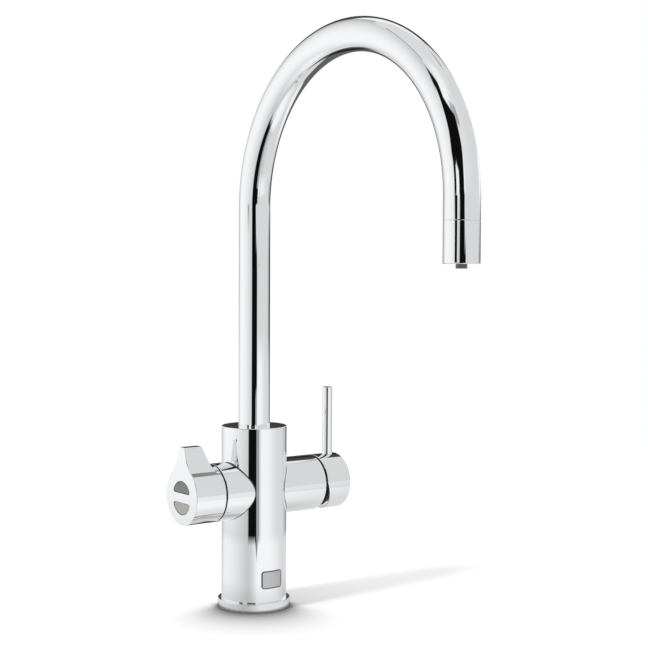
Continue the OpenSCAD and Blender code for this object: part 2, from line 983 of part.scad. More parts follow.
module lever_carrier() {
    slot_low = -stem_half - 1.6;
    slot_high = stem_half + 4.3;
    color("darkslategray")
        difference() {
            union() {
                rod_x(housing_cavity_r - fit_gap, carrier_x, carrier_shoulder);
                rod_x(neck_bore_r - run_gap, carrier_shoulder - cut, neck_end + 0.2);
                translate([neck_end - turn_stop_h, -turn_stop_w / 2, axis_z - turn_stop_r])
                    cube([turn_stop_h, turn_stop_w, 3]);
            }
            translate([carrier_x - cut, -stem_half - 0.15, axis_z + slot_low])
                cube([neck_end - carrier_x + 3, 2 * stem_half + 0.3, slot_high - slot_low]);
            translate([pivot_x, neck_r, axis_z])
                rotate([90, 0, 0])
                    cylinder(r = pin_r + fit_gap / 2, h = 2 * neck_r, $fn = 48);
        }
}

module lever_pin() {
    half = neck_bore_r - 1;
    color("gray")
        translate([pivot_x, half, axis_z])
            rotate([90, 0, 0])
                cylinder(r = pin_r, h = 2 * half, $fn = 48);
}

module lever_stem() {
    color("gray")
        difference() {
            union() {
                translate([pivot_x, -stem_half, axis_z - stem_half])
                    cube([stem_end - pivot_x, stem_w, stem_w]);
                translate([pivot_x, stem_half, axis_z])
                    rotate([90, 0, 0])
                        cylinder(r = stem_half, h = stem_w);
                rod_x(2, ball_x, pivot_x, $fn = 48);
                translate([ball_x, 0, axis_z])
                    sphere(r = ball_r, $fn = 48);
            }
            translate([pivot_x, neck_r, axis_z])
                rotate([90, 0, 0])
                    cylinder(r = pin_r + run_gap, h = 2 * neck_r, $fn = 48);
        }
}

module cartridge_nut() {
    slot_w = 4;
    color("goldenrod")
        difference() {
            ring_x(nut_bore_r - fit_gap, neck_r + fit_gap, nut_x, dome_x);
            for (a = [0, 90])
                translate([dome_x - 2, 0, axis_z])
                    rotate([a, 0, 0])
                        translate([0, -nut_bore_r, -slot_w / 2])
                            cube([2 + cut, 2 * nut_bore_r, slot_w]);
        }
}

module dome_cover() {
    color("dimgray")
        difference() {
            translate([pivot_x, 0, axis_z])
                sphere(r = dome_r);
            translate([pivot_x, 0, axis_z])
                sphere(r = dome_r - dome_t);
            rod_x(dome_r + cut, pivot_x - dome_r - cut, dome_x);
            rod_x(dome_r, dome_end, knob_end);
        }
}

module mixer_knob() {
    color("silver")
        difference() {
            translate([knob_x, 0, axis_z])
                rotate([0, 90, 0])
                    rounded_disc(stub_r, knob_len, rim_r);
            rod_x(knob_cavity_r, knob_x - cut, knob_floor);
            translate([knob_x, -mixer_d, axis_z + 3])
                rotate([0, -relief_angle, 0])
                    translate([-mixer_d, 0, -2 * mixer_d])
                        cube([mixer_d, 2 * mixer_d, 2 * mixer_d]);
            translate([knob_floor - cut, -stem_half - fit_gap / 2, axis_z - stem_half - fit_gap / 2])
                cube([stem_end + 0.2 - knob_floor + cut, stem_w + fit_gap, stem_w + fit_gap]);
            translate([lever_x, 0, axis_z + lever_foot])
                cylinder(r = lever_r + fit_gap / 2, h = mixer_d, $fn = 64);
            translate([lever_x, 0, axis_z + lever_foot - lever_thread - 0.3])
                cylinder(r = lever_thread_r + fit_gap, h = mixer_d, $fn = 48);
            translate([lever_x, 0, axis_z - mixer_d])
                cylinder(r = knob_screw_r + fit_gap, h = mixer_d - 1, $fn = 48);
        }
}

module pin_lever() {
    color("silver")
        union() {
            translate([lever_x, 0, axis_z + lever_foot])
                rounded_disc(lever_r, stub_r - lever_foot + pin_len, 0.4, $fn = 64);
            translate([lever_x, 0, axis_z + lever_foot - lever_thread])
                cylinder(r = lever_thread_r, h = lever_thread + cut, $fn = 48);
        }
}

module knob_grub_screw() {
    screw_top = axis_z - stem_half;
    color("gray")
        difference() {
            translate([lever_x, 0, screw_top - knob_screw_len])
                cylinder(r = knob_screw_r, h = knob_screw_len, $fn = 48);
            translate([lever_x, 0, screw_top - knob_screw_len - cut])
                cylinder(r = 1.4, h = 3 + cut, $fn = 6);
        }
}

base_ring();
base_seal();
column();
badge_plate();
inlet_block();
filter_inlet_bush();
cold_inlet_bush();
hot_inlet_bush();
shank();
deck_washer();
clamp_washer();
back_nut();
stop_screw();
spout_tube();
spout_foot();
upper_slide_ring();
lower_slide_ring();
upper_o_ring();
lower_o_ring();
inner_tube();
outlet_collar();
aerator_washer();
aerator();
filter_nozzle();
filter_hub();
filter_valve();
valve_nut();
hub_washer();
filter_spindle();
filter_handle();
handle_insert();
handle_grub_screw();
button_frame();
dome_pad();
button_board();
upper_button();
lower_button();
mixer_stub();
cartridge_seal();
cartridge_base();
cartridge_housing();
fixed_disc();
moving_disc();
lever_carrier();
lever_pin();
lever_stem();
cartridge_nut();
dome_cover();
mixer_knob();
pin_lever();
knob_grub_screw();
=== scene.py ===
import json
import math

import bmesh
import bpy
from mathutils import Matrix, Vector
from mathutils.geometry import delaunay_2d_cdt


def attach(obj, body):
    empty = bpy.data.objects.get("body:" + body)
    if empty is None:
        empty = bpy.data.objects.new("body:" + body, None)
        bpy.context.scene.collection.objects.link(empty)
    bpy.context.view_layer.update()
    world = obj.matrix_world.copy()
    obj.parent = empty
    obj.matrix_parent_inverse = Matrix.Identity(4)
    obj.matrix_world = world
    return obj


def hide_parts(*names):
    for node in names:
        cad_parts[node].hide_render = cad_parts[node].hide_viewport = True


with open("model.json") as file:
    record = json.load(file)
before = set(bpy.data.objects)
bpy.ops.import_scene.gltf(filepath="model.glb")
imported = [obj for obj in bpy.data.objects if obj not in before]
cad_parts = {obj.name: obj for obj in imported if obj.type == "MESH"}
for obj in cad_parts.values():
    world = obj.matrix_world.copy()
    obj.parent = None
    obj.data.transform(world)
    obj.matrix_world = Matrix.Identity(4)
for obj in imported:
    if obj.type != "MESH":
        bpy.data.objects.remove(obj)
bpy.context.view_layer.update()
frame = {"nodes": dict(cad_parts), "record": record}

# Sizes in millimetres, the same as in the part's source
MM = 0.001
PLAY = 0.1
AXIS_Z = 86.8
RING_R = 26.8
RING_H = 6.0
LIP_H = 2.6
COLUMN_R = 24.0
COLUMN_TOP = 133.7
SPIGOT_R = 22.0
BLOCK_R = 15.1
BLOCK_TOP = 24.6
SOCKET_R = 11.56
SOCKET_FLOOR = 98.7
STOP_Z = 103.0
SCREW_HOLE_R = 2.1
BADGE_W = 17.4
BADGE_H = 13.0
BADGE_Z = 22.8
BADGE_CORNER = 2.2
BADGE_GAP = 0.03
TUBE_R = 11.5
TUBE_BORE_R = 10.25
TUBE_SEAT = 131.7
SPRING_Z = 294.5
BEND_R = 111.5
REACH = 223.0
COLLAR_TOP = 279.8
COLLAR_BORE_R = 10.0
COLLAR_NECK_R = 10.15
COLLAR_NECK_H = 6.5
COLLAR_SEAT_R = 8.45
COLLAR_SEAT_Z = 268.25
OUTLET_Z = 253.5
NOZZLE_R = 3.6
NOZZLE_NECK_R = 2.9
NOZZLE_BORE_R = 1.9
NOZZLE_LOW = 250.6
NOZZLE_STEP = 267.25
NOZZLE_TOP = 276.25
JOINT_R = 24.15
HUB_R = 21.2
HUB_BORE_R = 12.3
HUB_FOOT_R = 15.2
HUB_END = 37.0
SEAT_X = 17.0
HANDLE_BACK = 37.8
HANDLE_FACE = 62.8
CAVITY_R = 17.6
CAVITY_END = 60.3
TIP_H = 35.2
TIP_HALF = 5.1
TIP_R = 3.4
FLANK_R = 24.0
TIP_DEPTH = 14.4
TIP_SLOPE = math.radians(20.5)
BUTTON_R = 12.2
BUTTON_BAR = 3.4
BUTTON_CORNER = 1.8
BUTTON_DROP = 1.3
BUTTON_GAP = 0.25
BUTTON_RIM = 1.05
HUB_SCREW_X = -47.75
STUB_R = 20.8
STUB_BORE_R = 17.5
STUB_FOOT_R = 19.0
STUB_RECESS_R = 18.3
STUB_RECESS_X = 42
STUB_END = 52.0
DOME_R = 16.6
DOME_INNER_R = 15.4
DOME_FLANGE_R = 17.9
DOME_FLANGE_X = (49.0, 49.5)
KNOB_X = 53.3
KNOB_END = 75.0
KNOB_CAVITY_R = 18.3
KNOB_FLOOR = 61.5
KNOB_SCREW_R = 2.6
RELIEF = math.radians(15.5)
PIVOT_X = 44.0
LEVER_X = 68.0
LEVER_R = 3.7
LEVER_FOOT_R = 2.5
LEVER_FOOT_H = 8
LEVER_SEAT = AXIS_Z + STUB_R - 1.2
LEVER_TOP = AXIS_Z + STUB_R + 51.3
SHANK_R = 16.5
SHANK_TOP = 12.6
SHANK_LOW = -58.0
HOSE_R = 13.5
WASHER_R = 25.0
DECK_LOW = -30.0
RUBBER_LOW = -33.0
STEEL_LOW = -35.0
NUT_LOW = -43.0
NUT_FLATS = 41.0

# Details of the visible pieces only, in millimetres
BADGE_BORDER = 0.7
SEAM_EDGE = 0.7
# Width of the shade painted along the housing's joint with the column
JOINT_SHADE_WIDTH = 1.8
THREAD_PITCH = 2.0
THREAD_DEPTH = 0.9
THREAD_TOP = -4.0
NEAR_AXIS = 0.01
SHARP = math.radians(35)

# Camera, in metres and degrees, fitted to the photograph's outlines
PHOTO_LENS = 76.42
PHOTO_PLACE = (-0.572827, -0.839618, 0.252417)
PHOTO_TURN = -37.201
PHOTO_DIP = 2.4535
PHOTO_ROLL = 0.2613

# Studio, in metres and degrees
CAMERA_SIDE = -124.3
WORLD_LIGHT = 0.34
FLOOR_HALF = 3
FLOOR_Z = -0.0002
FLOOR_LIFT = 0.25
FLOOR_FADE = (0.5, 1.1)
WALL_R = 6
WALL_CENTRE = Vector((0, -0.11, 0.3))
BEHIND_TAP = 120
SECOND_SHADE = 0.2
CARD_PLACE = Vector((-0.2575, -0.281))
CARD_WAY = Vector((0.22, -0.975))
CARD_HALF = 0.034
CARD_HEIGHTS = (0.25, 0.308)


def add_object(name, data):
    thing = bpy.data.objects.new(name, data)
    bpy.context.scene.collection.objects.link(thing)
    return thing


def place_camera():
    """The camera at the photograph's viewing angle."""
    lens = bpy.data.cameras.new("photo_camera")
    lens.sensor_width = 36
    lens.lens = PHOTO_LENS
    lens.clip_start = 0.05
    lens.clip_end = 50
    camera = add_object("photo_camera", lens)
    turn = Matrix.Rotation(math.radians(PHOTO_TURN), 4, "Z")
    tilt = Matrix.Rotation(math.radians(90 - PHOTO_DIP), 4, "X")
    roll = Matrix.Rotation(math.radians(PHOTO_ROLL), 4, "Z")
    camera.matrix_world = Matrix.Translation(PHOTO_PLACE) @ turn @ tilt @ roll
    bpy.context.scene.camera = camera


# Outlines

def rounded(corners, steps=6):
    """A closed outline from corners given as (across, along, rounding)."""
    outline = []
    for i, (across, along, c) in enumerate(corners):
        here = Vector((across, along))
        if c == 0:
            outline.append(here)
            continue
        before = (Vector(corners[i - 1][:2]) - here).normalized()
        after = (Vector(corners[(i + 1) % len(corners)][:2]) - here).normalized()
        half = before.angle(after) / 2
        start = before * c / math.tan(half)
        end = after * c / math.tan(half)
        middle = (before + after).normalized() * c / math.sin(half)
        sweep = math.pi - 2 * half
        outline.append(here + start + before * c * 0.3)
        for k in range(steps + 1):
            t = k / steps
            arm = (start - middle) * math.sin((1 - t) * sweep) + (end - middle) * math.sin(t * sweep)
            outline.append(here + middle + arm / math.sin(sweep))
        outline.append(here + end + after * c * 0.3)
    return outline


def arc(centre, radius, from_angle, to_angle, steps):
    """Points and outward directions along an arc, angles in degrees from +across."""
    found = []
    for k in range(steps + 1):
        a = math.radians(from_angle + (to_angle - from_angle) * k / steps)
        way = Vector((math.cos(a), math.sin(a)))
        found.append((centre + way * radius, way))
    return found


def quarter_round(size, steps):
    """A rounded edge as (inset, depth) pairs, from the face's edge out to the side."""
    found = []
    for k in range(steps + 1):
        t = math.pi / 2 * k / steps
        found.append((size * (1 - math.sin(t)), size * (1 - math.cos(t))))
    return found


def smooth(t):
    """Eases from 0 to 1."""
    t = max(0.0, min(1.0, t))
    return t * t * (3 - 2 * t)


# Meshes

def drill(mesh, start, end, radius):
    """Cuts a round hole from start to end through a closed mesh and gives back the cut mesh."""
    along = Vector(end) - Vector(start)
    cutter = bpy.data.meshes.new("drill")
    model = bmesh.new()
    bmesh.ops.create_cone(model, cap_ends=True, segments=48, radius1=radius * MM,
                          radius2=radius * MM, depth=along.length * MM)
    turn = along.to_track_quat("Z", "Y").to_matrix().to_4x4()
    middle = (Vector(start) + along / 2) * MM
    bmesh.ops.transform(model, matrix=Matrix.Translation(middle) @ turn, verts=model.verts)
    model.to_mesh(cutter)
    model.free()
    block = add_object("drilled_block", mesh)
    tool = add_object("drill", cutter)
    cut = block.modifiers.new("hole", "BOOLEAN")
    cut.operation = "DIFFERENCE"
    cut.solver = "EXACT"
    cut.object = tool
    view = bpy.context.evaluated_depsgraph_get()
    view.update()
    drilled = bpy.data.meshes.new_from_object(block.evaluated_get(view))
    for thing in (block, tool):
        bpy.data.objects.remove(thing)
    bpy.data.meshes.remove(cutter)
    bpy.data.meshes.remove(mesh)
    return drilled


def make_piece(name, points, faces, finish, body, stands_for, ends=(), holes=(), joint=0):
    """One visible piece of the tap, from points in millimetres.

    Faces across the tap at the distances in ends, and all faces nearer than the given reach to the
    column's axis, are painted dark as shade for the gap they line. Holes are given as (start, end, radius).
    """
    mesh = bpy.data.meshes.new(name)
    mesh.from_pydata([Vector(p) * MM for p in points], [], faces)
    model = bmesh.new()
    model.from_mesh(mesh)
    bmesh.ops.remove_doubles(model, verts=model.verts, dist=1e-7)
    bmesh.ops.recalc_face_normals(model, faces=model.faces)
    if holes:
        model.to_mesh(mesh)
        for start, end, radius in holes:
            mesh = drill(mesh, start, end, radius)
        mesh.name = name
        model.clear()
        model.from_mesh(mesh)
    for face in model.faces:
        face.smooth = True
    for edge in model.edges:
        edge.smooth = len(edge.link_faces) != 2 or edge.calc_face_angle(0) < SHARP
    model.to_mesh(mesh)
    model.free()
    mesh.materials.append(finish)
    # Seam faces and the strip along the column's joint get the dark finish as painted shade
    if ends:
        mesh.materials.append(DARK_NYLON_AND_SEAM_SHADE)
        for polygon in mesh.polygons:
            place = polygon.center / MM
            facing = abs(polygon.normal.x) > 0.5
            shaded_seam = facing and any(abs(abs(place.x) - x) < 0.2 for x in ends)
            shaded_joint = math.hypot(place.x, place.y) < joint
            polygon.material_index = int(shaded_seam or shaded_joint)
    piece = add_object(name, mesh)
    even = piece.modifiers.new("even_shading", "WEIGHTED_NORMAL")
    even.weight = 90
    even.keep_sharp = True
    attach(piece, body)
    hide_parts(*stands_for)
    return piece


def upright(across, angle, along):
    """A point turned about the column's axis."""
    return (across * math.cos(angle), across * math.sin(angle), along)


def over_outlet(across, angle, along):
    """A point turned about the outlet's axis."""
    return (across * math.cos(angle), across * math.sin(angle) - REACH, along)


def sideways(across, angle, along):
    """A point turned about the controls' axis."""
    return (along, across * math.cos(angle), AXIS_Z + across * math.sin(angle))


def turned(outline_at, place, steps=192):
    """Points and faces of an outline turned about an axis; outline_at(angle) gives it at each angle."""
    points = []
    for i in range(steps):
        angle = 2 * math.pi * i / steps
        points.extend(place(p[0], angle, p[1]) for p in outline_at(angle))
    count = len(points) // steps
    faces = []
    for i in range(steps):
        a, b = i * count, (i + 1) % steps * count
        for k in range(count):
            n = (k + 1) % count
            faces.append((a + k, a + n, b + n, b + k))
    return points, faces


def level_ring(at, steps):
    """A ring round the column's axis; at(share of a turn) gives its (radius, height)."""
    places = []
    for k in range(steps):
        radius, height = at(k / steps)
        places.append(upright(radius, 2 * math.pi * k / steps, height))
    return places


def loft(points, faces, loops, closed=True):
    """Adds faces between loops of point numbers that have the same length."""
    for low, high in zip(loops, loops[1:]):
        count = len(low)
        for k in range(count if closed else count - 1):
            n = (k + 1) % count
            faces.append((low[k], low[n], high[n], high[k]))


def add_loop(points, places):
    """Adds places to the points and gives back their numbers."""
    first = len(points)
    points.extend(places)
    return list(range(first, len(points)))


def inside(spot, loop):
    """Whether a flat spot lies inside a closed loop."""
    odd = False
    for a, b in zip(loop, loop[1:] + loop[:1]):
        if (a.y > spot.y) != (b.y > spot.y):
            if spot.x < a.x + (b.x - a.x) * (spot.y - a.y) / (b.y - a.y):
                odd = not odd
    return odd


def fill(points, faces, loops, flatten):
    """Adds triangles that fill a flat region: the first loop is its edge and the others are holes."""
    numbers = [n for loop in loops for n in loop]
    flat = [Vector(flatten(points[n])) for n in numbers]
    rims = []
    first = 0
    for loop in loops:
        count = len(loop)
        rims.extend((first + k, first + (k + 1) % count) for k in range(count))
        first += count
    _, _, found, origins, _, _ = delaunay_2d_cdt(flat, rims, [], 0, 1e-9)
    edges = []
    for loop in loops:
        edges.append([Vector(flatten(points[n])) for n in loop])
    for face in found:
        middle = sum((flat[origins[n][0]] for n in face), Vector((0, 0))) / len(face)
        if inside(middle, edges[0]) and not any(inside(middle, e) for e in edges[1:]):
            faces.append(tuple(numbers[origins[n][0]] for n in face))


# Base, column and badge

def make_base_ring():
    corners = [
        (SHANK_R + PLAY, 0, 0), (RING_R, 0, 0.15), (RING_R, RING_H, 0.6),
        (SPIGOT_R + PLAY, RING_H, 0), (SPIGOT_R + PLAY, LIP_H, 0), (SHANK_R + PLAY, LIP_H, 0),
    ]
    points, faces = turned(lambda angle: rounded(corners), upright, 256)
    make_piece("flange_ring", points, faces, CHROME, "base", ["base_ring"])


def make_column():
    corners = [
        (SPIGOT_R, LIP_H, 0), (SPIGOT_R, RING_H, 0), (COLUMN_R, RING_H, 0.12),
        (COLUMN_R, COLUMN_TOP, 0.6), (SOCKET_R, COLUMN_TOP, 0.35), (SOCKET_R, SOCKET_FLOOR, 0),
        (NEAR_AXIS, SOCKET_FLOOR, 0), (NEAR_AXIS, BLOCK_TOP, 0), (BLOCK_R, BLOCK_TOP, 0),
        (BLOCK_R, SHANK_TOP, 0), (SHANK_R + PLAY, SHANK_TOP, 0), (SHANK_R + PLAY, LIP_H, 0),
    ]
    points, faces = turned(lambda angle: rounded(corners), upright, 256)
    stop_hole = ((0, SOCKET_R - 2, STOP_Z), (0, COLUMN_R + 2, STOP_Z), SCREW_HOLE_R)
    make_piece("column_body", points, faces, CHROME, "base", ["column"], holes=[stop_hole])


def make_badge():
    """A small curved plate with a raised border."""
    points = []
    faces = []
    flat = BADGE_W / 2 - BADGE_CORNER
    pieces = 16
    outline = []
    for side_x, side_z, start in ((1, 1, 0), (-1, 1, 90), (-1, -1, 180), (1, -1, 270)):
        centre = Vector((side_x * flat, side_z * (BADGE_H / 2 - BADGE_CORNER)))
        outline.extend(arc(centre, BADGE_CORNER, start, start + 90, 10))
        if side_x == side_z:
            for k in range(1, pieces):
                spot = Vector((side_x * flat * (1 - 2 * k / pieces), side_z * BADGE_H / 2))
                outline.append((spot, Vector((0, side_z))))

    def ring(inset, height):
        places = []
        for spot, way in outline:
            x, z = spot - way * inset
            far = COLUMN_R + BADGE_GAP + height
            places.append((x, -math.sqrt(far * far - x * x), BADGE_Z + z))
        return add_loop(points, places)

    levels = [
        (0, 0), (0, 0.45), (0.04, 0.56), (0.15, 0.6), (0.65, 0.6), (0.75, 0.56), (0.8, 0.5),
        (0.82, 0.37), (0.9, 0.35), (1.4, 0.35),
    ]
    loops = [ring(inset, height) for inset, height in levels]
    loft(points, faces, loops)
    rows = 12
    last = [points[n] for n in loops[-1]]
    top = last[:len(last) // 2]
    low = last[::-1][:len(last) // 2]
    columns = []
    for a, b in zip(top, low):
        line = []
        for r in range(rows + 1):
            t = r / rows
            line.append(tuple(a[i] + (b[i] - a[i]) * t for i in range(3)))
        columns.append(add_loop(points, line))
    loft(points, faces, columns, closed=False)
    badge = make_piece("badge_face", points, faces, BADGE, "base", ["badge_plate"])
    badge.data.materials.append(BADGE_RIM)
    for polygon in badge.data.polygons:
        spot = polygon.center / MM
        inside_x = BADGE_W / 2 - abs(spot.x)
        inside_z = BADGE_H / 2 - abs(spot.z - BADGE_Z)
        reach = max(0, BADGE_CORNER - inside_x), max(0, BADGE_CORNER - inside_z)
        inset = min(inside_x, inside_z)
        if min(reach) > 0:
            inset = BADGE_CORNER - math.hypot(*reach)
        polygon.material_index = int(inset < BADGE_BORDER)


# Spout

def gooseneck_at(s):
    """The place and the outward side of the spout's path at the distance s from its foot."""
    rise = SPRING_Z - TUBE_SEAT
    bend = math.pi * BEND_R
    if s < rise:
        return Vector((0, 0, TUBE_SEAT + s)), Vector((0, 1, 0))
    if s > rise + bend:
        return Vector((0, -REACH, SPRING_Z - (s - rise - bend))), Vector((0, -1, 0))
    t = (s - rise) / BEND_R
    side = Vector((0, math.cos(t), math.sin(t)))
    return Vector((0, -BEND_R, SPRING_Z)) + side * BEND_R, side


def make_spout():
    rise = SPRING_Z - TUBE_SEAT
    bend = math.pi * BEND_R
    length = rise + bend + SPRING_Z - COLLAR_TOP
    outer = [0.3, 0.5] + [rise * k / 8 for k in range(1, 9)]
    outer += [rise + bend * k / 180 for k in range(1, 181)]
    outer += [length - 8, length - 0.4]
    stations = [(s, TUBE_R) for s in outer]
    stations += [(length - 0.2, TUBE_R - 0.03), (length - 0.06, TUBE_R - 0.12), (length, TUBE_R - 0.3)]
    stations += [(length, TUBE_BORE_R)]
    stations += [(s, TUBE_BORE_R) for s in reversed(outer[2::4])]
    stations += [(0, TUBE_BORE_R), (0, TUBE_R - 0.3)]
    around = 96
    points = []
    loops = []
    for s, radius in stations:
        middle, side = gooseneck_at(s)
        ring = []
        for k in range(around):
            a = 2 * math.pi * k / around
            edge = middle + side * radius * math.cos(a)
            ring.append(tuple(edge + Vector((1, 0, 0)) * radius * math.sin(a)))
        loops.append(add_loop(points, ring))
    faces = []
    loft(points, faces, loops + loops[:1])
    make_piece("gooseneck", points, faces, CHROME, "spout", ["spout_tube"])


def make_outlet():
    neck_top = COLLAR_TOP + COLLAR_NECK_H
    corners = [
        (COLLAR_BORE_R, OUTLET_Z, 0.2), (TUBE_R, OUTLET_Z, 0.6), (TUBE_R, COLLAR_TOP, 0.2),
        (COLLAR_NECK_R, COLLAR_TOP, 0), (COLLAR_NECK_R, neck_top, 0.3),
        (COLLAR_SEAT_R, neck_top, 0.2), (COLLAR_SEAT_R, COLLAR_SEAT_Z, 0),
        (COLLAR_BORE_R, COLLAR_SEAT_Z, 0),
    ]
    points, faces = turned(lambda angle: rounded(corners), over_outlet, 192)
    make_piece("outlet_sleeve", points, faces, CHROME, "spout", ["outlet_collar"])
    corners = [
        (NOZZLE_BORE_R, NOZZLE_LOW, 0.25), (NOZZLE_R, NOZZLE_LOW, 0.4), (NOZZLE_R, NOZZLE_STEP, 0),
        (NOZZLE_NECK_R, NOZZLE_STEP, 0), (NOZZLE_NECK_R, NOZZLE_TOP, 0.2),
        (NOZZLE_BORE_R, NOZZLE_TOP, 0.2),
    ]
    points, faces = turned(lambda angle: rounded(corners), over_outlet, 96)
    make_piece("nozzle_tip", points, faces, NOZZLE, "spout", ["filter_nozzle"])


# Filter control

def saddle(across, angle):
    """Distance from the column's axis at which a sideways housing meets the column's joint."""
    y = across * math.cos(angle)
    return math.sqrt(JOINT_R * JOINT_R - y * y)


def make_hub():
    """The filter side's housing, with a line of painted shade along its joint with the column."""
    def outline(angle):
        foot = -saddle(HUB_R, angle)
        corners = [
            (HUB_BORE_R, -HUB_END, 0.1), (HUB_R, -HUB_END, SEAM_EDGE), (HUB_R, foot - JOINT_SHADE_WIDTH, 0),
            (HUB_R, foot, 0.45), (HUB_FOOT_R, -saddle(HUB_FOOT_R, angle), 0),
            (HUB_FOOT_R, -SEAT_X, 0), (HUB_BORE_R, -SEAT_X, 0),
        ]
        return rounded(corners)

    points, faces = turned(outline, sideways, 256)
    make_piece("filter_housing", points, faces, CHROME, "base", ["filter_hub"], (HUB_END,),
               joint=JOINT_R + JOINT_SHADE_WIDTH - 0.1)


def handle_outline():
    """The handle's outline as (place, outward way) lists: the round part and the fin above it."""
    corner = Vector((TIP_HALF - TIP_R, TIP_H - TIP_R))
    to_flank = HUB_R + FLANK_R
    between = FLANK_R + TIP_R
    reach = corner.length
    cosine = (reach ** 2 + to_flank ** 2 - between ** 2) / (2 * reach * to_flank)
    bearing = math.atan2(corner.x, corner.y) + math.acos(cosine)
    flank = Vector((to_flank * math.sin(bearing), to_flank * math.cos(bearing)))
    start = 90 - math.degrees(bearing)
    lower = arc(Vector((0, 0)), HUB_R, start, start - 360 + 2 * math.degrees(bearing), 180)
    crest = arc(Vector((0, 0)), HUB_R, 180 - start, start, 48)
    to_corner = corner - flank
    lean = math.degrees(math.atan2(to_corner.y, to_corner.x)) % 360
    from_flank = math.degrees(math.atan2(-flank.y, -flank.x)) % 360
    right = [(p, -way) for p, way in arc(flank, FLANK_R, lean, from_flank, 36)]
    tip = arc(corner, TIP_R, lean - 180, 90, 12)
    half = right[::-1] + tip[1:]
    mirror = [(Vector((-p.x, p.y)), Vector((-way.x, way.y))) for p, way in half]
    fin = mirror + half[::-1]
    return lower, fin, crest


def half_moon(radius, bar, corner, side):
    """A half moon's outline above (side 1) or below (side -1) the handle's axis."""
    low = bar + corner
    out = math.sqrt((radius - corner) ** 2 - low * low)
    lean = math.degrees(math.atan2(low, out))
    found = arc(Vector((out, low)), corner, -90, lean, 10)
    found += arc(Vector((0, 0)), radius, lean, 180 - lean, 64)[1:]
    found += arc(Vector((-out, low)), corner, 180 - lean, 270, 10)[1:]
    for k in range(1, 12):
        found.append((Vector((-out + 2 * out * k / 12, bar)), Vector((0, -1))))
    return [(Vector((p.x, p.y * side - BUTTON_DROP)), Vector((way.x, way.y * side))) for p, way in found]


def face_spot(x, spot):
    """A spot of the handle's outline, at x along the controls' axis."""
    return (x, spot.x, AXIS_Z + spot.y)


def face_flat(point):
    """A point seen along the controls' axis."""
    return (point[1], point[2])


def slope_x(height):
    """Where the fin's back lies along the controls' axis."""
    return -HANDLE_FACE + TIP_DEPTH + (TIP_H - height) * math.tan(TIP_SLOPE)


def make_handle():
    lower, fin, crest = handle_outline()
    whole = lower[:-1] + fin[:-1]
    edge = 0.5
    lip = 0.25
    front_x = -HANDLE_FACE + edge + 0.2
    back_x = -HANDLE_BACK - SEAM_EDGE - 0.2
    points = []
    faces = []

    def ring(rim, inset, x):
        return add_loop(points, [face_spot(x, p - way * inset) for p, way in rim])

    # The face with its rounded edge and the two openings
    front = [ring(whole, edge + 0.15, -HANDLE_FACE)]
    for inset, depth in quarter_round(edge, 6):
        front.append(ring(whole, inset, -HANDLE_FACE + depth))
    front.append(ring(whole, 0, front_x))
    loft(points, faces, front)
    windows = []
    for side in (1, -1):
        moon = half_moon(BUTTON_R, BUTTON_BAR, BUTTON_CORNER, side)
        loops = [ring(moon, -lip - 0.1, -HANDLE_FACE)]
        for inset, depth in quarter_round(lip, 4):
            loops.append(ring(moon, -inset, -HANDLE_FACE + depth))
        loops.append(ring(moon, 0, -HANDLE_FACE + lip + 0.2))
        loops.append(ring(moon, 0, -CAVITY_END))
        loft(points, faces, loops)
        windows.append(loops)
    fill(points, faces, [front[0]] + [w[0] for w in windows], face_flat)

    # The round part's wall, back to its rim
    count = len(lower)
    around = lower + crest[1:-1]
    rim = []
    for inset, depth in quarter_round(SEAM_EDGE, 4):
        rim.append(ring(around, depth, -HANDLE_BACK - inset))
    side_end = ring(around, 0, back_x)
    behind = ring(around, SEAM_EDGE + 0.15, -HANDLE_BACK)
    loft(points, faces, [side_end] + rim + [behind])
    wall_rows = 6
    rows = [front[-1][:count]]
    for r in range(1, wall_rows):
        t = r / wall_rows
        x = front_x * (1 - t) + back_x * t
        rows.append(add_loop(points, [face_spot(x, p) for p, way in lower]))
    loft(points, faces, rows + [side_end[:count]], closed=False)

    # The fin's walls, back to its slope, with a rounding that fades out at both ends
    far = len(fin) - 1
    walls = []
    for k, (p, way) in enumerate(fin):
        fade = min(1, min(k, far - k) / 14)
        inset = 0.45 * smooth(fade)
        inner = p - way * inset
        a = Vector(face_spot(slope_x(p.y) - inset, p))
        b = Vector(face_spot(slope_x(p.y), p))
        c = Vector(face_spot(slope_x(inner.y), inner))
        line = []
        for r in range(1, wall_rows + 1):
            t = r / wall_rows
            line.append(face_spot(front_x * (1 - t) + (a.x - 0.1 * fade) * t, p))
        for r in range(6):
            t = r / 5
            line.append(tuple(a * (1 - t) ** 2 + b * 2 * t * (1 - t) + c * t * t))
        walls.append(add_loop(points, line))
    rows = [front[-1][count - 1:] + front[-1][:1]]
    for r in range(len(walls[0])):
        rows.append([wall[r] for wall in walls])
    loft(points, faces, rows, closed=False)
    crease = add_loop(points, [face_spot(slope_x(p.y), p) for p, way in crest])
    fill(points, faces, [rows[-1] + crease[1:-1][::-1]], face_flat)

    # The round part behind the fin
    crest_end = [side_end[count - 1]] + side_end[count:] + [side_end[0]]
    rows = [crease]
    for r in range(1, 4):
        t = r / 4
        places = [face_spot(slope_x(p.y) * (1 - t) + back_x * t, p) for p, way in crest]
        rows.append(add_loop(points, places))
    loft(points, faces, rows + [crest_end], closed=False)

    # The hollow behind the face
    ratio = CAVITY_R / HUB_R
    mouth = add_loop(points, [face_spot(-HANDLE_BACK, p * ratio) for p, way in around])
    deep = add_loop(points, [face_spot(-CAVITY_END, p * ratio) for p, way in around])
    loft(points, faces, [behind, mouth, deep])
    fill(points, faces, [deep] + [w[-1] for w in windows], face_flat)
    screw_hole = ((HUB_SCREW_X, 0, AXIS_Z - HUB_R - 2), (HUB_SCREW_X, 0, AXIS_Z - CAVITY_R + 1),
                  SCREW_HOLE_R)
    # The handle's back face, in its seam, takes painted shade
    make_piece("handle_shell", points, faces, CHROME, "filter_handle", ["filter_handle"],
               (HANDLE_BACK,), [screw_hole])


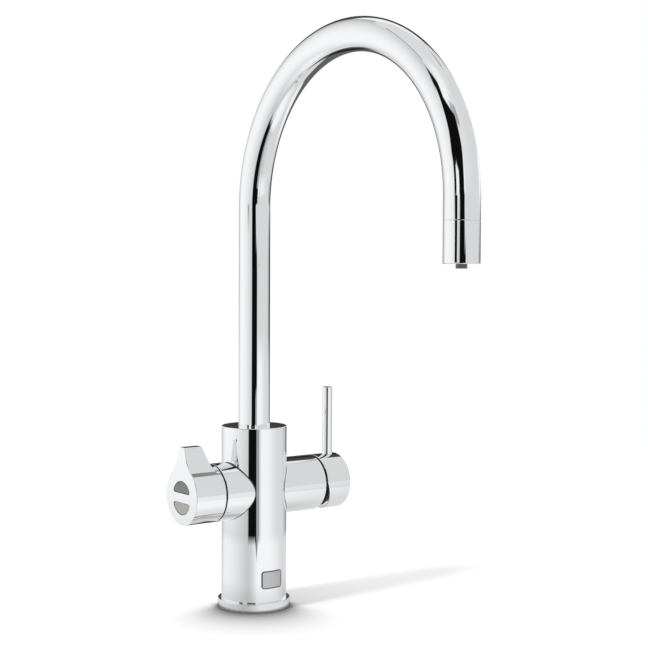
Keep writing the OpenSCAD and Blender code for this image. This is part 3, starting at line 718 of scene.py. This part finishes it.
def make_button(name, side, finish):
    """A half-moon window with a rim that the handle's face holds from behind."""
    moon = half_moon(BUTTON_R - BUTTON_GAP, BUTTON_BAR + BUTTON_GAP, BUTTON_CORNER, side)
    front = -HANDLE_FACE + 0.3
    edge = 0.35
    rim_x = -CAVITY_END + 0.2
    points = []
    faces = []

    def ring(inset, x):
        return add_loop(points, [face_spot(x, p - way * inset) for p, way in moon])

    loops = [ring(edge + 0.15, front)]
    for inset, depth in quarter_round(edge, 4):
        loops.append(ring(inset, front + depth))
    loops += [ring(0, rim_x), ring(-BUTTON_RIM, rim_x), ring(-BUTTON_RIM, rim_x + 1.1)]
    loft(points, faces, loops)
    fill(points, faces, [loops[0]], face_flat)
    fill(points, faces, [loops[-1]], face_flat)
    make_piece(name + "_window", points, faces, finish, name, [name])


# Mixer control

def make_stub():
    def outline(angle):
        corners = [
            (STUB_RECESS_R, STUB_END, 0.15), (STUB_R, STUB_END, SEAM_EDGE),
            (STUB_R, saddle(STUB_R, angle), 0.3), (STUB_FOOT_R, saddle(STUB_FOOT_R, angle), 0),
            (STUB_FOOT_R, SEAT_X, 0), (STUB_BORE_R, SEAT_X, 0), (STUB_BORE_R, STUB_RECESS_X, 0),
            (STUB_RECESS_R, STUB_RECESS_X, 0),
        ]
        return rounded(corners)

    points, faces = turned(outline, sideways, 256)
    # The housing's end face, in its seam, takes painted shade
    make_piece("mixer_housing", points, faces, CHROME, "base", ["mixer_stub"], (STUB_END,))


def make_dome():
    """The dark cover in the wedge under the knob, with a thin flange at its foot."""
    outline = [Vector((DOME_FLANGE_R, x)) for x in DOME_FLANGE_X]
    outline += [p for p, way in arc(Vector((0, PIVOT_X)), DOME_R, 19.4, 46.2, 24)]
    outline += [p for p, way in arc(Vector((0, PIVOT_X)), DOME_INNER_R, 51.1, 19, 24)]
    points, faces = turned(lambda angle: outline, sideways, 160)
    make_piece("dome_shell", points, faces, DARK_NYLON_AND_SEAM_SHADE, "base", ["dome_cover"])


def make_knob():
    """The mixer's cap, cut back from the lever's side downwards, and its upright rod."""
    def back(across, angle):
        fall = 3 - across * math.sin(angle)
        return KNOB_X + max(0, fall) * math.tan(RELIEF)

    def outline(angle):
        corners = [
            (KNOB_CAVITY_R, back(KNOB_CAVITY_R, angle), 0.15), (STUB_R, back(STUB_R, angle), SEAM_EDGE),
            (STUB_R, KNOB_END, 0.6), (NEAR_AXIS, KNOB_END, 0), (NEAR_AXIS, KNOB_FLOOR, 0),
            (KNOB_CAVITY_R, KNOB_FLOOR, 0),
        ]
        return rounded(corners)

    points, faces = turned(outline, sideways, 256)
    screw_hole = ((LEVER_X, 0, AXIS_Z - STUB_R - 2), (LEVER_X, 0, AXIS_Z - 4), KNOB_SCREW_R)
    # The cap's back face and its hollow's floor take painted shade
    make_piece("mixer_cap", points, faces, CHROME, "mixer_knob", ["mixer_knob"],
               (KNOB_X, KNOB_FLOOR), [screw_hole])
    corners = [
        (NEAR_AXIS, LEVER_SEAT - LEVER_FOOT_H, 0), (LEVER_FOOT_R, LEVER_SEAT - LEVER_FOOT_H, 0),
        (LEVER_FOOT_R, LEVER_SEAT, 0), (LEVER_R, LEVER_SEAT, 0), (LEVER_R, LEVER_TOP, 0.5),
        (NEAR_AXIS, LEVER_TOP, 0),
    ]
    points, faces = turned(lambda angle: rounded(corners), upright, 128)
    points = [(x + LEVER_X, y, z) for x, y, z in points]
    make_piece("lever_rod", points, faces, CHROME, "mixer_knob", ["pin_lever"])


# Fastening under the worktop

def make_shank():
    """A tube with a rolled thread, from a little under the worktop's top down to its end."""
    rows_a_turn = 8
    drop = THREAD_TOP - SHANK_LOW
    count = round(drop / THREAD_PITCH * rows_a_turn)
    points = []
    faces = []

    def circle(radius, height):
        return add_loop(points, level_ring(lambda share: (radius, height), 96))

    def thread(height):
        def at(share):
            t = (height / THREAD_PITCH - share) % 1
            groove = smooth((t - 0.25) / 0.2) * smooth((0.95 - t) / 0.2)
            full = smooth((height - SHANK_LOW - 0.4) / 1.5) * smooth((THREAD_TOP - height) / 1.5)
            taper = 1 - smooth(height - SHANK_LOW + 0.4)
            return SHANK_R - THREAD_DEPTH * (groove * full + taper), height

        return add_loop(points, level_ring(at, 96))

    loops = [
        circle(HOSE_R, SHANK_TOP), circle(SHANK_R - 0.3, SHANK_TOP), circle(SHANK_R, SHANK_TOP - 0.3),
        circle(SHANK_R, THREAD_TOP + 0.2),
    ]
    for k in range(count + 1):
        loops.append(thread(THREAD_TOP - drop * k / count))
    loops += [circle(HOSE_R + 0.4, SHANK_LOW), circle(HOSE_R, SHANK_LOW + 0.4)]
    loft(points, faces, loops + loops[:1])
    make_piece("threaded_shank", points, faces, BRASS, "base", ["shank"])


def make_washer(name, high, low, bend, finish, stands_for):
    bore = SHANK_R + PLAY
    corners = [(bore, low, 0.2), (WASHER_R, low, bend), (WASHER_R, high, bend), (bore, high, 0.2)]
    points, faces = turned(lambda angle: rounded(corners), upright, 160)
    make_piece(name, points, faces, finish, "base", [stands_for])


def make_nut():
    """A hexagon nut with its corners bevelled at both faces."""
    half = NUT_FLATS / 2
    face_r = half - 0.4
    slope = math.tan(math.radians(30))
    bore = SHANK_R + PLAY
    chamfer = 0.6
    points = []
    faces = []

    def circle(radius, height):
        return add_loop(points, level_ring(lambda share: (radius, height), 240))

    def hexagon(height, way):
        def at(share):
            flat = (2 * math.pi * share) % (math.pi / 3) - math.pi / 6
            radius = half / math.cos(flat)
            return radius, height + way * (radius - face_r) * slope

        return add_loop(points, level_ring(at, 240))

    loops = [
        circle(bore, STEEL_LOW - chamfer), circle(bore + chamfer, STEEL_LOW), circle(face_r, STEEL_LOW),
        hexagon(STEEL_LOW, -1), hexagon(NUT_LOW, 1),
        circle(face_r, NUT_LOW), circle(bore + chamfer, NUT_LOW), circle(bore, NUT_LOW + chamfer),
    ]
    loft(points, faces, loops + loops[:1])
    make_piece("hexagon_nut", points, faces, BRASS, "base", ["back_nut"])


# Nodes

def feed(tree, socket, value):
    """Links a socket to another one, or sets a constant on it."""
    if isinstance(value, bpy.types.NodeSocket):
        tree.links.new(value, socket)
    else:
        socket.default_value = value


def math_node(tree, operation, *values):
    node = tree.nodes.new("ShaderNodeMath")
    node.operation = operation
    for socket, value in zip(node.inputs, values):
        feed(tree, socket, value)
    return node.outputs["Value"]


def length_node(tree, vector):
    node = tree.nodes.new("ShaderNodeVectorMath")
    node.operation = "LENGTH"
    feed(tree, node.inputs[0], vector)
    return node.outputs["Value"]


def range_node(tree, value, before=(0, 1), after=(0, 1), curve="LINEAR"):
    """Maps a value from the range before to the range after."""
    node = tree.nodes.new("ShaderNodeMapRange")
    node.interpolation_type = curve
    labels = ("Value", "From Min", "From Max", "To Min", "To Max")
    for label, given in zip(labels, (value, *before, *after)):
        feed(tree, node.inputs[label], given)
    return node.outputs["Result"]


def mix_node(tree, kind, share, low, high):
    """Mixes two values (kind FLOAT) or two colours (kind RGBA)."""
    node = tree.nodes.new("ShaderNodeMix")
    node.data_type = kind
    first, result = (2, 0) if kind == "FLOAT" else (6, 2)
    feed(tree, node.inputs[0], share)
    feed(tree, node.inputs[first], low)
    feed(tree, node.inputs[first + 1], high)
    return node.outputs[result]


def new_group(name, inputs, outputs):
    """A node group whose sockets are all numbers; inputs gives each one's name and usual value."""
    group = bpy.data.node_groups.new(name, "ShaderNodeTree")
    for label, value in inputs.items():
        socket = group.interface.new_socket(label, in_out="INPUT", socket_type="NodeSocketFloat")
        socket.default_value = value
    for label in outputs:
        group.interface.new_socket(label, in_out="OUTPUT", socket_type="NodeSocketFloat")
    given = group.nodes.new("NodeGroupInput").outputs
    result = group.nodes.new("NodeGroupOutput").inputs
    return group, given, result


def new_material(name):
    material = bpy.data.materials.new(name)
    material.use_nodes = True
    return material, material.node_tree


# Finishes

def make_handling_marks():
    """Faint smears and dust that change how sharply a surface shines."""
    group, given, result = new_group(
        "handling_marks", {"Scale": 30, "Clean": 0.03, "Marked": 0.08}, ["Roughness"])
    where = group.nodes.new("ShaderNodeTexCoord")
    broad = group.nodes.new("ShaderNodeTexNoise")
    broad.inputs["Detail"].default_value = 5
    broad.inputs["Roughness"].default_value = 0.6
    feed(group, broad.inputs["Vector"], where.outputs["Object"])
    feed(group, broad.inputs["Scale"], given["Scale"])
    steep = range_node(group, broad.outputs["Fac"], (0.45, 0.8))
    feed(group, result["Roughness"], range_node(group, steep, after=(given["Clean"], given["Marked"])))
    return group


def make_fine_grain():
    """A fine moulded or machined grain, as a height, and broad clouds as a tone."""
    group, given, result = new_group("fine_grain", {"Scale": 900}, ["Height", "Tone"])
    where = group.nodes.new("ShaderNodeTexCoord").outputs["Object"]
    grain = group.nodes.new("ShaderNodeTexNoise")
    grain.inputs["Detail"].default_value = 3
    cloud = group.nodes.new("ShaderNodeTexNoise")
    cloud.inputs["Scale"].default_value = 60
    feed(group, grain.inputs["Vector"], where)
    feed(group, grain.inputs["Scale"], given["Scale"])
    feed(group, cloud.inputs["Vector"], where)
    feed(group, result["Height"], grain.outputs["Fac"])
    feed(group, result["Tone"], cloud.outputs["Fac"])
    return group


def make_finish(name, light, dark, metal, clean, marked, grain=0.0):
    """A material whose colour, shine and surface all vary a little over the piece."""
    finish, tree = new_material(name)
    shader = tree.nodes["Principled BSDF"]
    shader.inputs["Metallic"].default_value = metal
    marks = tree.nodes.new("ShaderNodeGroup")
    marks.node_tree = HANDLING_MARKS
    marks.inputs["Clean"].default_value = clean
    marks.inputs["Marked"].default_value = marked
    texture = tree.nodes.new("ShaderNodeGroup")
    texture.node_tree = FINE_GRAIN
    tone = mix_node(tree, "RGBA", texture.outputs["Tone"], (*light, 1), (*dark, 1))
    feed(tree, shader.inputs["Base Color"], tone)
    feed(tree, shader.inputs["Roughness"], marks.outputs["Roughness"])
    if grain:
        bump = tree.nodes.new("ShaderNodeBump")
        bump.inputs["Strength"].default_value = grain
        bump.inputs["Distance"].default_value = 0.0002
        feed(tree, bump.inputs["Height"], texture.outputs["Height"])
        feed(tree, shader.inputs["Normal"], bump.outputs["Normal"])
    return finish


# Studio

def camera_bearing(bearing):
    """The flat direction at a bearing, in degrees from the camera's side of the column."""
    side = math.radians(bearing + CAMERA_SIDE)
    return Vector((math.cos(side), math.sin(side)))


def make_painted_contact_shadow():
    """A shadow painted into the floor's colour right in front of the ring, where the column hides most of
    the light.
    """
    group, given, result = new_group(
        "painted_contact_shadow",
        {"Rim": RING_R * MM, "Front Reach": 0.022, "Side Reach": 0.003, "Depth": 0.9}, ["Tone"])
    where = group.nodes.new("ShaderNodeNewGeometry").outputs["Position"]
    ahead = group.nodes.new("ShaderNodeVectorMath")
    ahead.operation = "DOT_PRODUCT"
    ahead.inputs[1].default_value = (*camera_bearing(0), 0)
    feed(group, ahead.inputs[0], where)
    far = length_node(group, where)
    facing = math_node(group, "DIVIDE", ahead.outputs["Value"], math_node(group, "MAXIMUM", far, 0.001))
    reach = range_node(group, facing, (0, 1), (given["Side Reach"], given["Front Reach"]), "SMOOTHSTEP")
    kept = range_node(group, facing, (-0.35, 0.1), (0, 1), "SMOOTHSTEP")
    away = math_node(group, "MAXIMUM", math_node(group, "SUBTRACT", far, given["Rim"]), 0)
    steps = math_node(group, "MULTIPLY", math_node(group, "DIVIDE", away, reach), -1)
    loss = math_node(group, "MULTIPLY", math_node(group, "EXPONENT", steps), kept)
    loss = math_node(group, "MULTIPLY", loss, given["Depth"])
    feed(group, result["Tone"], math_node(group, "SUBTRACT", 1, loss))
    return group


def make_floor():
    """A white floor that fades into the white backdrop, with a shadow painted in front of the ring, and
    shows nothing from below.
    """
    points = [(x * FLOOR_HALF, y * FLOOR_HALF, FLOOR_Z) for x, y in ((-1, -1), (1, -1), (1, 1), (-1, 1))]
    mesh = bpy.data.meshes.new("studio_floor")
    mesh.from_pydata(points, [], [(0, 1, 2, 3)])
    floor = add_object("studio_floor", mesh)
    finish, tree = new_material("white_floor")
    nodes = tree.nodes
    path = nodes.new("ShaderNodeLightPath").outputs
    face = nodes.new("ShaderNodeNewGeometry").outputs
    painted_shadow = nodes.new("ShaderNodeGroup")
    painted_shadow.node_tree = PAINTED_CONTACT_SHADOW

    # Only the camera sees the painted contact shadow and the lift towards white
    tone = math_node(tree, "MAXIMUM", painted_shadow.outputs["Tone"],
                     math_node(tree, "SUBTRACT", 1, path["Is Camera Ray"]))
    lift = math_node(tree, "MULTIPLY", path["Is Camera Ray"], math_node(tree, "MULTIPLY", FLOOR_LIFT, tone))
    shader = nodes["Principled BSDF"].inputs
    # The painted shadow mixes the floor's colour down towards near black in front of the ring
    paint = mix_node(tree, "RGBA", tone, (0.02, 0.02, 0.021, 1), (0.8, 0.8, 0.8, 1))
    feed(tree, shader["Base Color"], paint)
    feed(tree, shader["Emission Strength"], lift)
    shader["Roughness"].default_value = 0.9
    shader["Specular IOR Level"].default_value = 0.0
    shader["Emission Color"].default_value = (1, 1, 1, 1)

    fade = range_node(tree, length_node(tree, face["Position"]), FLOOR_FADE, (0, 1), "SMOOTHSTEP")
    mix = nodes.new("ShaderNodeMixShader")
    feed(tree, mix.inputs["Fac"], math_node(tree, "MAXIMUM", fade, face["Backfacing"]))
    feed(tree, mix.inputs[1], nodes["Principled BSDF"].outputs["BSDF"])
    feed(tree, mix.inputs[2], nodes.new("ShaderNodeBsdfTransparent").outputs["BSDF"])
    feed(tree, nodes["Material Output"].inputs["Surface"], mix.outputs["Shader"])
    mesh.materials.append(finish)
    floor.visible_glossy = False


def make_world():
    """White for the camera and for reflections, and a weaker light for matt surfaces."""
    world = bpy.data.worlds.new("white_studio")
    bpy.context.scene.world = world
    world.use_nodes = True
    tree = world.node_tree
    light = tree.nodes["Background"].inputs
    light["Color"].default_value = (1, 1, 1, 1)
    path = tree.nodes.new("ShaderNodeLightPath").outputs
    direct = math_node(tree, "SUBTRACT", path["Is Glossy Ray"], path["Diffuse Depth"])
    bright = math_node(tree, "MAXIMUM", path["Is Camera Ray"], direct)
    bright = math_node(tree, "MAXIMUM", bright, path["Is Transmission Ray"])
    feed(tree, light["Strength"], range_node(tree, bright, after=(WORLD_LIGHT, 1)))


def make_lamp(name, place, spread, strength):
    """A soft, even lamp that shines from a place towards the column's foot."""
    lamp = bpy.data.lights.new(name, "SUN")
    lamp.angle = math.radians(spread)
    lamp.energy = strength
    holder = add_object(name, lamp)
    holder.location = place
    holder.rotation_euler = (-Vector(place)).to_track_quat("-Z", "Y").to_euler()
    holder.visible_glossy = False


def reflected_sheet(name, rows, steep, shallow=None):
    """A screen round the tap that only shows in reflections.

    Steep is each point's darkness for rays that meet the screen squarely, and shallow for glancing
    ones. A ray that has already been reflected sees the part behind the tap in a light shade.
    """
    points = [p for row in rows for p in row]
    width = len(rows[0])
    faces = []
    for r in range(len(rows) - 1):
        for k in range(width - 1):
            a = r * width + k
            faces.append((a, a + 1, a + width + 1, a + width))
    mesh = bpy.data.meshes.new(name)
    mesh.from_pydata(points, [], faces)
    shallow = shallow or steep
    second = []
    for n, shade in enumerate(shallow):
        behind = abs(n % width - 180) > BEHIND_TAP
        second.append(min(shade, SECOND_SHADE) if behind else shade)
    sheet = add_object(name, mesh)
    finish, tree = new_material(name)
    nodes = tree.nodes
    nodes.remove(nodes["Principled BSDF"])
    shades = []
    for label, values in (("steep_shade", steep), ("shallow_shade", shallow), ("second_shade", second)):
        mesh.attributes.new(label, "FLOAT", "POINT").data.foreach_set("value", values)
        read = nodes.new("ShaderNodeAttribute")
        read.attribute_name = label
        shades.append(read.outputs["Fac"])
    slant = nodes.new("ShaderNodeLayerWeight")
    slant.inputs["Blend"].default_value = 0.5
    path = nodes.new("ShaderNodeLightPath")
    glancing = range_node(tree, slant.outputs["Facing"], (0.64, 0.76))
    first = mix_node(tree, "FLOAT", glancing, shades[0], shades[1])
    again = range_node(tree, path.outputs["Glossy Depth"], (1, 2))
    shade = mix_node(tree, "FLOAT", again, first, shades[2])
    clear = nodes.new("ShaderNodeBsdfTransparent")
    feed(tree, clear.inputs["Color"], range_node(tree, shade, after=(1, 0.005)))
    feed(tree, nodes["Material Output"].inputs["Surface"], clear.outputs["BSDF"])
    mesh.materials.append(finish)
    sheet.visible_camera = False
    sheet.visible_diffuse = False
    sheet.visible_transmission = False
    sheet.visible_shadow = False


def patch(bearing, height, box, soft):
    """How far a direction lies inside a soft-edged box of bearings and heights, from 0 to 1."""
    left, right, low, high = box
    across = (bearing - (left + right) / 2 + 180) % 360 - 180
    inner = (right - left) / 2 - abs(across)
    middle = min(height - low, high - height)
    return smooth(inner / soft + 0.5) * smooth(middle / soft + 0.5)


def left_box(b, e):
    """Brightness of the soft box at the left."""
    side = 60 if b < -112 else 140
    rise = 106 if e > -10 else 93
    return 1.02 * math.exp(-((b + 112) / side) ** 2 - ((e + 10) / rise) ** 2)


def right_box(b, e):
    """Brightness of the soft box at the right."""
    return 0.73 + 0.06 * smooth((e - 2) / 10) * smooth((75 - b) / 50)


def top_box(b, e):
    """Brightness of the soft box overhead."""
    return 0.76 + 0.2 * math.exp(-(b / 38) ** 2) * smooth((82 - e) / 12)


def studio_level(b, e):
    """Brightness of the studio by the bearing from the camera's side and the height, in degrees."""
    level = 0.97

    # Dark boards behind the tap
    for loss, box, soft in (
        (0.92, (150, 203, 20, 44), 5), (0.89, (164, 196, 3, 24), 5), (0.85, (138, 197, -70, 3), 6),
        (0.35, (-170, -128, -6, 6), 8), (0.55, (114, 150, -16, 2), 4),
    ):
        level -= loss * patch(b, e, box, soft)

    # Soft boxes at the left, at the right and overhead
    left = -157 + 18.52 * smooth(min(e + 3, 5 - e) / 3 + 0.5)
    for shine, box, soft in (
        (left_box, (left, -54, -120, 58), 4), (left_box, (-60, -14, -120, 3), 3),
        (right_box, (12, 116, -120, 60), 3), (right_box, (110, 150, 12, 60), 3),
    ):
        level += (shine(b, e) - level) * patch(b, e, box, soft)
    level += (top_box(b, e) - level) * smooth((e - 57) / 3)

    # Gaps between the soft boxes
    level -= 0.55 * patch(b, e, (-116, -58, 58.5, 61), 1.5)
    level -= 0.5 * patch(b, e, (112, 132, 56, 60), 3)

    # The dark camera side, with a light stripe at its left
    right = 9 + 10 * smooth((e + 14) / 2) - 10 * smooth((e + 0.5) / 2) - 4 * smooth((e - 2) / 4)
    low_left = -20 - 4 * smooth((e - 2) / 2)
    high_left = -51 + 0.7 * min(0, e - 22)
    high_right = 11 - 6 * smooth((30 - e) / 18)
    dark = 0
    for depth, box, soft in (
        (1, (low_left, right, -90, 16), 4), (0.6, (0, 17, -90, -3), 6),
        (1, (high_left, high_right, 13, 46), 3), (1, (-56, -30, 40, 56), 6),
        (0.5, (-4, 32, 40, 52), 4), (1, (-54, -40, 2.2, 17), 3),
    ):
        dark = max(dark, depth * patch(b, e, box, soft))
    stripe = 7.5 * smooth((16 - e) / 5)
    dark -= dark * 0.95 * patch(b, e, (-33 - stripe, -33 + stripe, 2, 16), 3)
    return level * (1 - dark)


def floor_level(b, far, glancing):
    """Brightness of the reflected floor by bearing and by distance from the column, in metres."""
    mirror_height = 0.4
    level = studio_level(b, -math.degrees(math.atan(mirror_height / far)))
    edge_of_view = smooth((4.2 - far) / 2)
    if glancing:
        bright = 0.98 - 0.24 * smooth((b - 36) / 60) - 0.4 * smooth((b - 112) / 44)
        last = 163 - 16 * smooth((far - 0.5) / 0.3)
        right = smooth((b - 18) / 10) * smooth((last - b) / 6)
        level += (bright - level) * right * edge_of_view
    else:
        level -= 0.1 * smooth((b - 14) / 8) * smooth((46 - b) / 10) * edge_of_view

    # The white floor close to the ring as the chrome mirrors it, with a painted shadow near the ring
    near = 0.63 + 0.36 * smooth((b + 16) / 32) - 0.25 * smooth((b - 50) / 70)
    near += (0.93 * left_box(b, -10) - near) * smooth((-16 - b) / 4) * smooth((b + 165) / 15)
    # Painted shadow: the reflected floor darkens towards the ring
    near *= 1 - 0.2 * smooth((0.12 - far) / 0.08)
    near *= 1 - 0.7 * smooth((0.033 - far) / 0.005)
    edge = 0.28 - 0.08 * math.exp(-((b - 9) / 3) ** 2)
    level += (near - level) * smooth((edge - far) / 0.03 + 0.5)
    if not glancing:
        level *= 1 - 0.85 * smooth((-142 - b) / 12)
    return level


def make_studio():
    """The screens that the chrome mirrors: walls, floor and a dark card beside the handle."""
    bearings = range(-180, 181)
    lowest = -math.degrees(math.asin(WALL_CENTRE.z / WALL_R))
    rows = []
    shade = []
    for step in range(-3, 91):
        e = max(step, lowest)
        up = math.radians(e)
        row = []
        for b in bearings:
            side = camera_bearing(b) * math.cos(up)
            row.append(tuple(WALL_CENTRE + Vector((side.x, side.y, math.sin(up))) * WALL_R))
            shade.append(1 - studio_level(b, e))
        rows.append(row)
    reflected_sheet("studio_walls", rows, shade)
    rows = []
    steep = []
    shallow = []
    for k in range(-1, 67):
        far = max(0.025, min(0.0285 * 1.085 ** k, WALL_R - 0.01))
        row = []
        for b in bearings:
            side = camera_bearing(b) * far
            row.append((side.x, side.y + WALL_CENTRE.y * smooth(far / WALL_R), 0.0001))
            steep.append(1 - floor_level(b, far, False))
            shallow.append(1 - floor_level(b, far, True))
        rows.append(row)
    reflected_sheet("floor_tone", rows, steep, shallow)
    ends = [CARD_PLACE + CARD_WAY * half for half in (-CARD_HALF, CARD_HALF)]
    rows = [[(end.x, end.y, z) for end in ends] for z in CARD_HEIGHTS]
    reflected_sheet("dark_card", rows, [1.0] * 4)


place_camera()
HANDLING_MARKS = make_handling_marks()
FINE_GRAIN = make_fine_grain()
# A shadow painted on the floor in front of the ring
PAINTED_CONTACT_SHADOW = make_painted_contact_shadow()
CHROME = make_finish("polished_chrome", (0.92, 0.927, 0.935), (0.9, 0.908, 0.918), 1, 0.008, 0.03)
BADGE = make_finish("badge_plate_metal", (0.55, 0.55, 0.56), (0.48, 0.48, 0.49), 1, 0.12, 0.25)
BADGE_RIM = make_finish("badge_rim_metal", (0.13, 0.13, 0.135), (0.1, 0.1, 0.105), 1, 0.12, 0.25)
NOZZLE = make_finish("nozzle_plastic", (0.2, 0.21, 0.23), (0.15, 0.16, 0.17), 0, 0.25, 0.4, grain=0.1)
UPPER = make_finish("upper_window_plastic", (0.16, 0.175, 0.17), (0.13, 0.14, 0.14), 0, 0.12, 0.25)
LOWER = make_finish("lower_window_plastic", (0.37, 0.365, 0.34), (0.32, 0.315, 0.295), 0, 0.15, 0.3)
BRASS = make_finish("turned_brass", (0.75, 0.56, 0.27), (0.62, 0.44, 0.2), 1, 0.2, 0.35, grain=0.1)
STEEL = make_finish("plain_steel", (0.6, 0.6, 0.61), (0.5, 0.5, 0.51), 1, 0.22, 0.36, grain=0.1)
ZINC = make_finish("cast_zinc", (0.5, 0.51, 0.53), (0.42, 0.43, 0.45), 1, 0.4, 0.55, grain=0.3)
RUBBER = make_finish("black_rubber", (0.03, 0.03, 0.03), (0.05, 0.05, 0.05), 0, 0.5, 0.7, grain=0.3)
WHITE = make_finish("white_acetal", (0.8, 0.8, 0.78), (0.74, 0.74, 0.72), 0, 0.35, 0.5, grain=0.1)
GREY = make_finish("grey_cartridge_plastic", (0.5, 0.52, 0.54), (0.42, 0.44, 0.46), 0, 0.4, 0.5, grain=0.2)
# Dark nylon for the dark plastic parts, also used as painted shade in the chrome's seams and joint lines
DARK_NYLON_AND_SEAM_SHADE = make_finish("dark_nylon_and_seam_shade", (0.03, 0.03, 0.033), (0.05, 0.05, 0.055), 0, 0.4, 0.55, grain=0.2)
CERAMIC = make_finish("lapped_ceramic", (0.85, 0.84, 0.8), (0.8, 0.79, 0.75), 0, 0.1, 0.2)
SILICONE = make_finish("silicone_pad", (0.55, 0.55, 0.53), (0.48, 0.48, 0.46), 0, 0.5, 0.65, grain=0.1)
BOARD = make_finish("circuit_board", (0.02, 0.14, 0.05), (0.015, 0.1, 0.04), 0, 0.3, 0.4, grain=0.1)

make_base_ring()
make_column()
make_badge()
make_spout()
make_outlet()
make_hub()
make_handle()
make_button("upper_button", 1, UPPER)
make_button("lower_button", -1, LOWER)
make_stub()
make_dome()
make_knob()

slot_finishes = {
    "chrome": CHROME, "badge": BADGE, "brass": BRASS, "steel": STEEL, "zinc": ZINC, "rubber": RUBBER,
    "white_plastic": WHITE, "grey_plastic": GREY, "dark_plastic": DARK_NYLON_AND_SEAM_SHADE, "nozzle": NOZZLE,
    "ceramic": CERAMIC, "silicone": SILICONE, "board": BOARD, "upper_button": UPPER, "lower_button": LOWER,
}
node_slots = {part["node"]: part["material_slot"] for part in frame["record"]["subparts"]}
for node, piece in frame["nodes"].items():
    piece.data.materials.clear()
    piece.data.materials.append(slot_finishes[node_slots[node]])

make_shank()
make_washer("rubber_washer", DECK_LOW, RUBBER_LOW, 0.6, RUBBER, "deck_washer")
make_washer("steel_washer", RUBBER_LOW, STEEL_LOW, 0.3, STEEL, "clamp_washer")
make_nut()

make_floor()
make_world()
make_studio()
make_lamp("side_lamp", (-1.6, 0, 1.2), 12, 1.75)
make_lamp("rear_lamp", (0.45, 0.66, 1.6), 100, 1.55)

scene = bpy.context.scene
scene.view_settings.view_transform = "Standard"
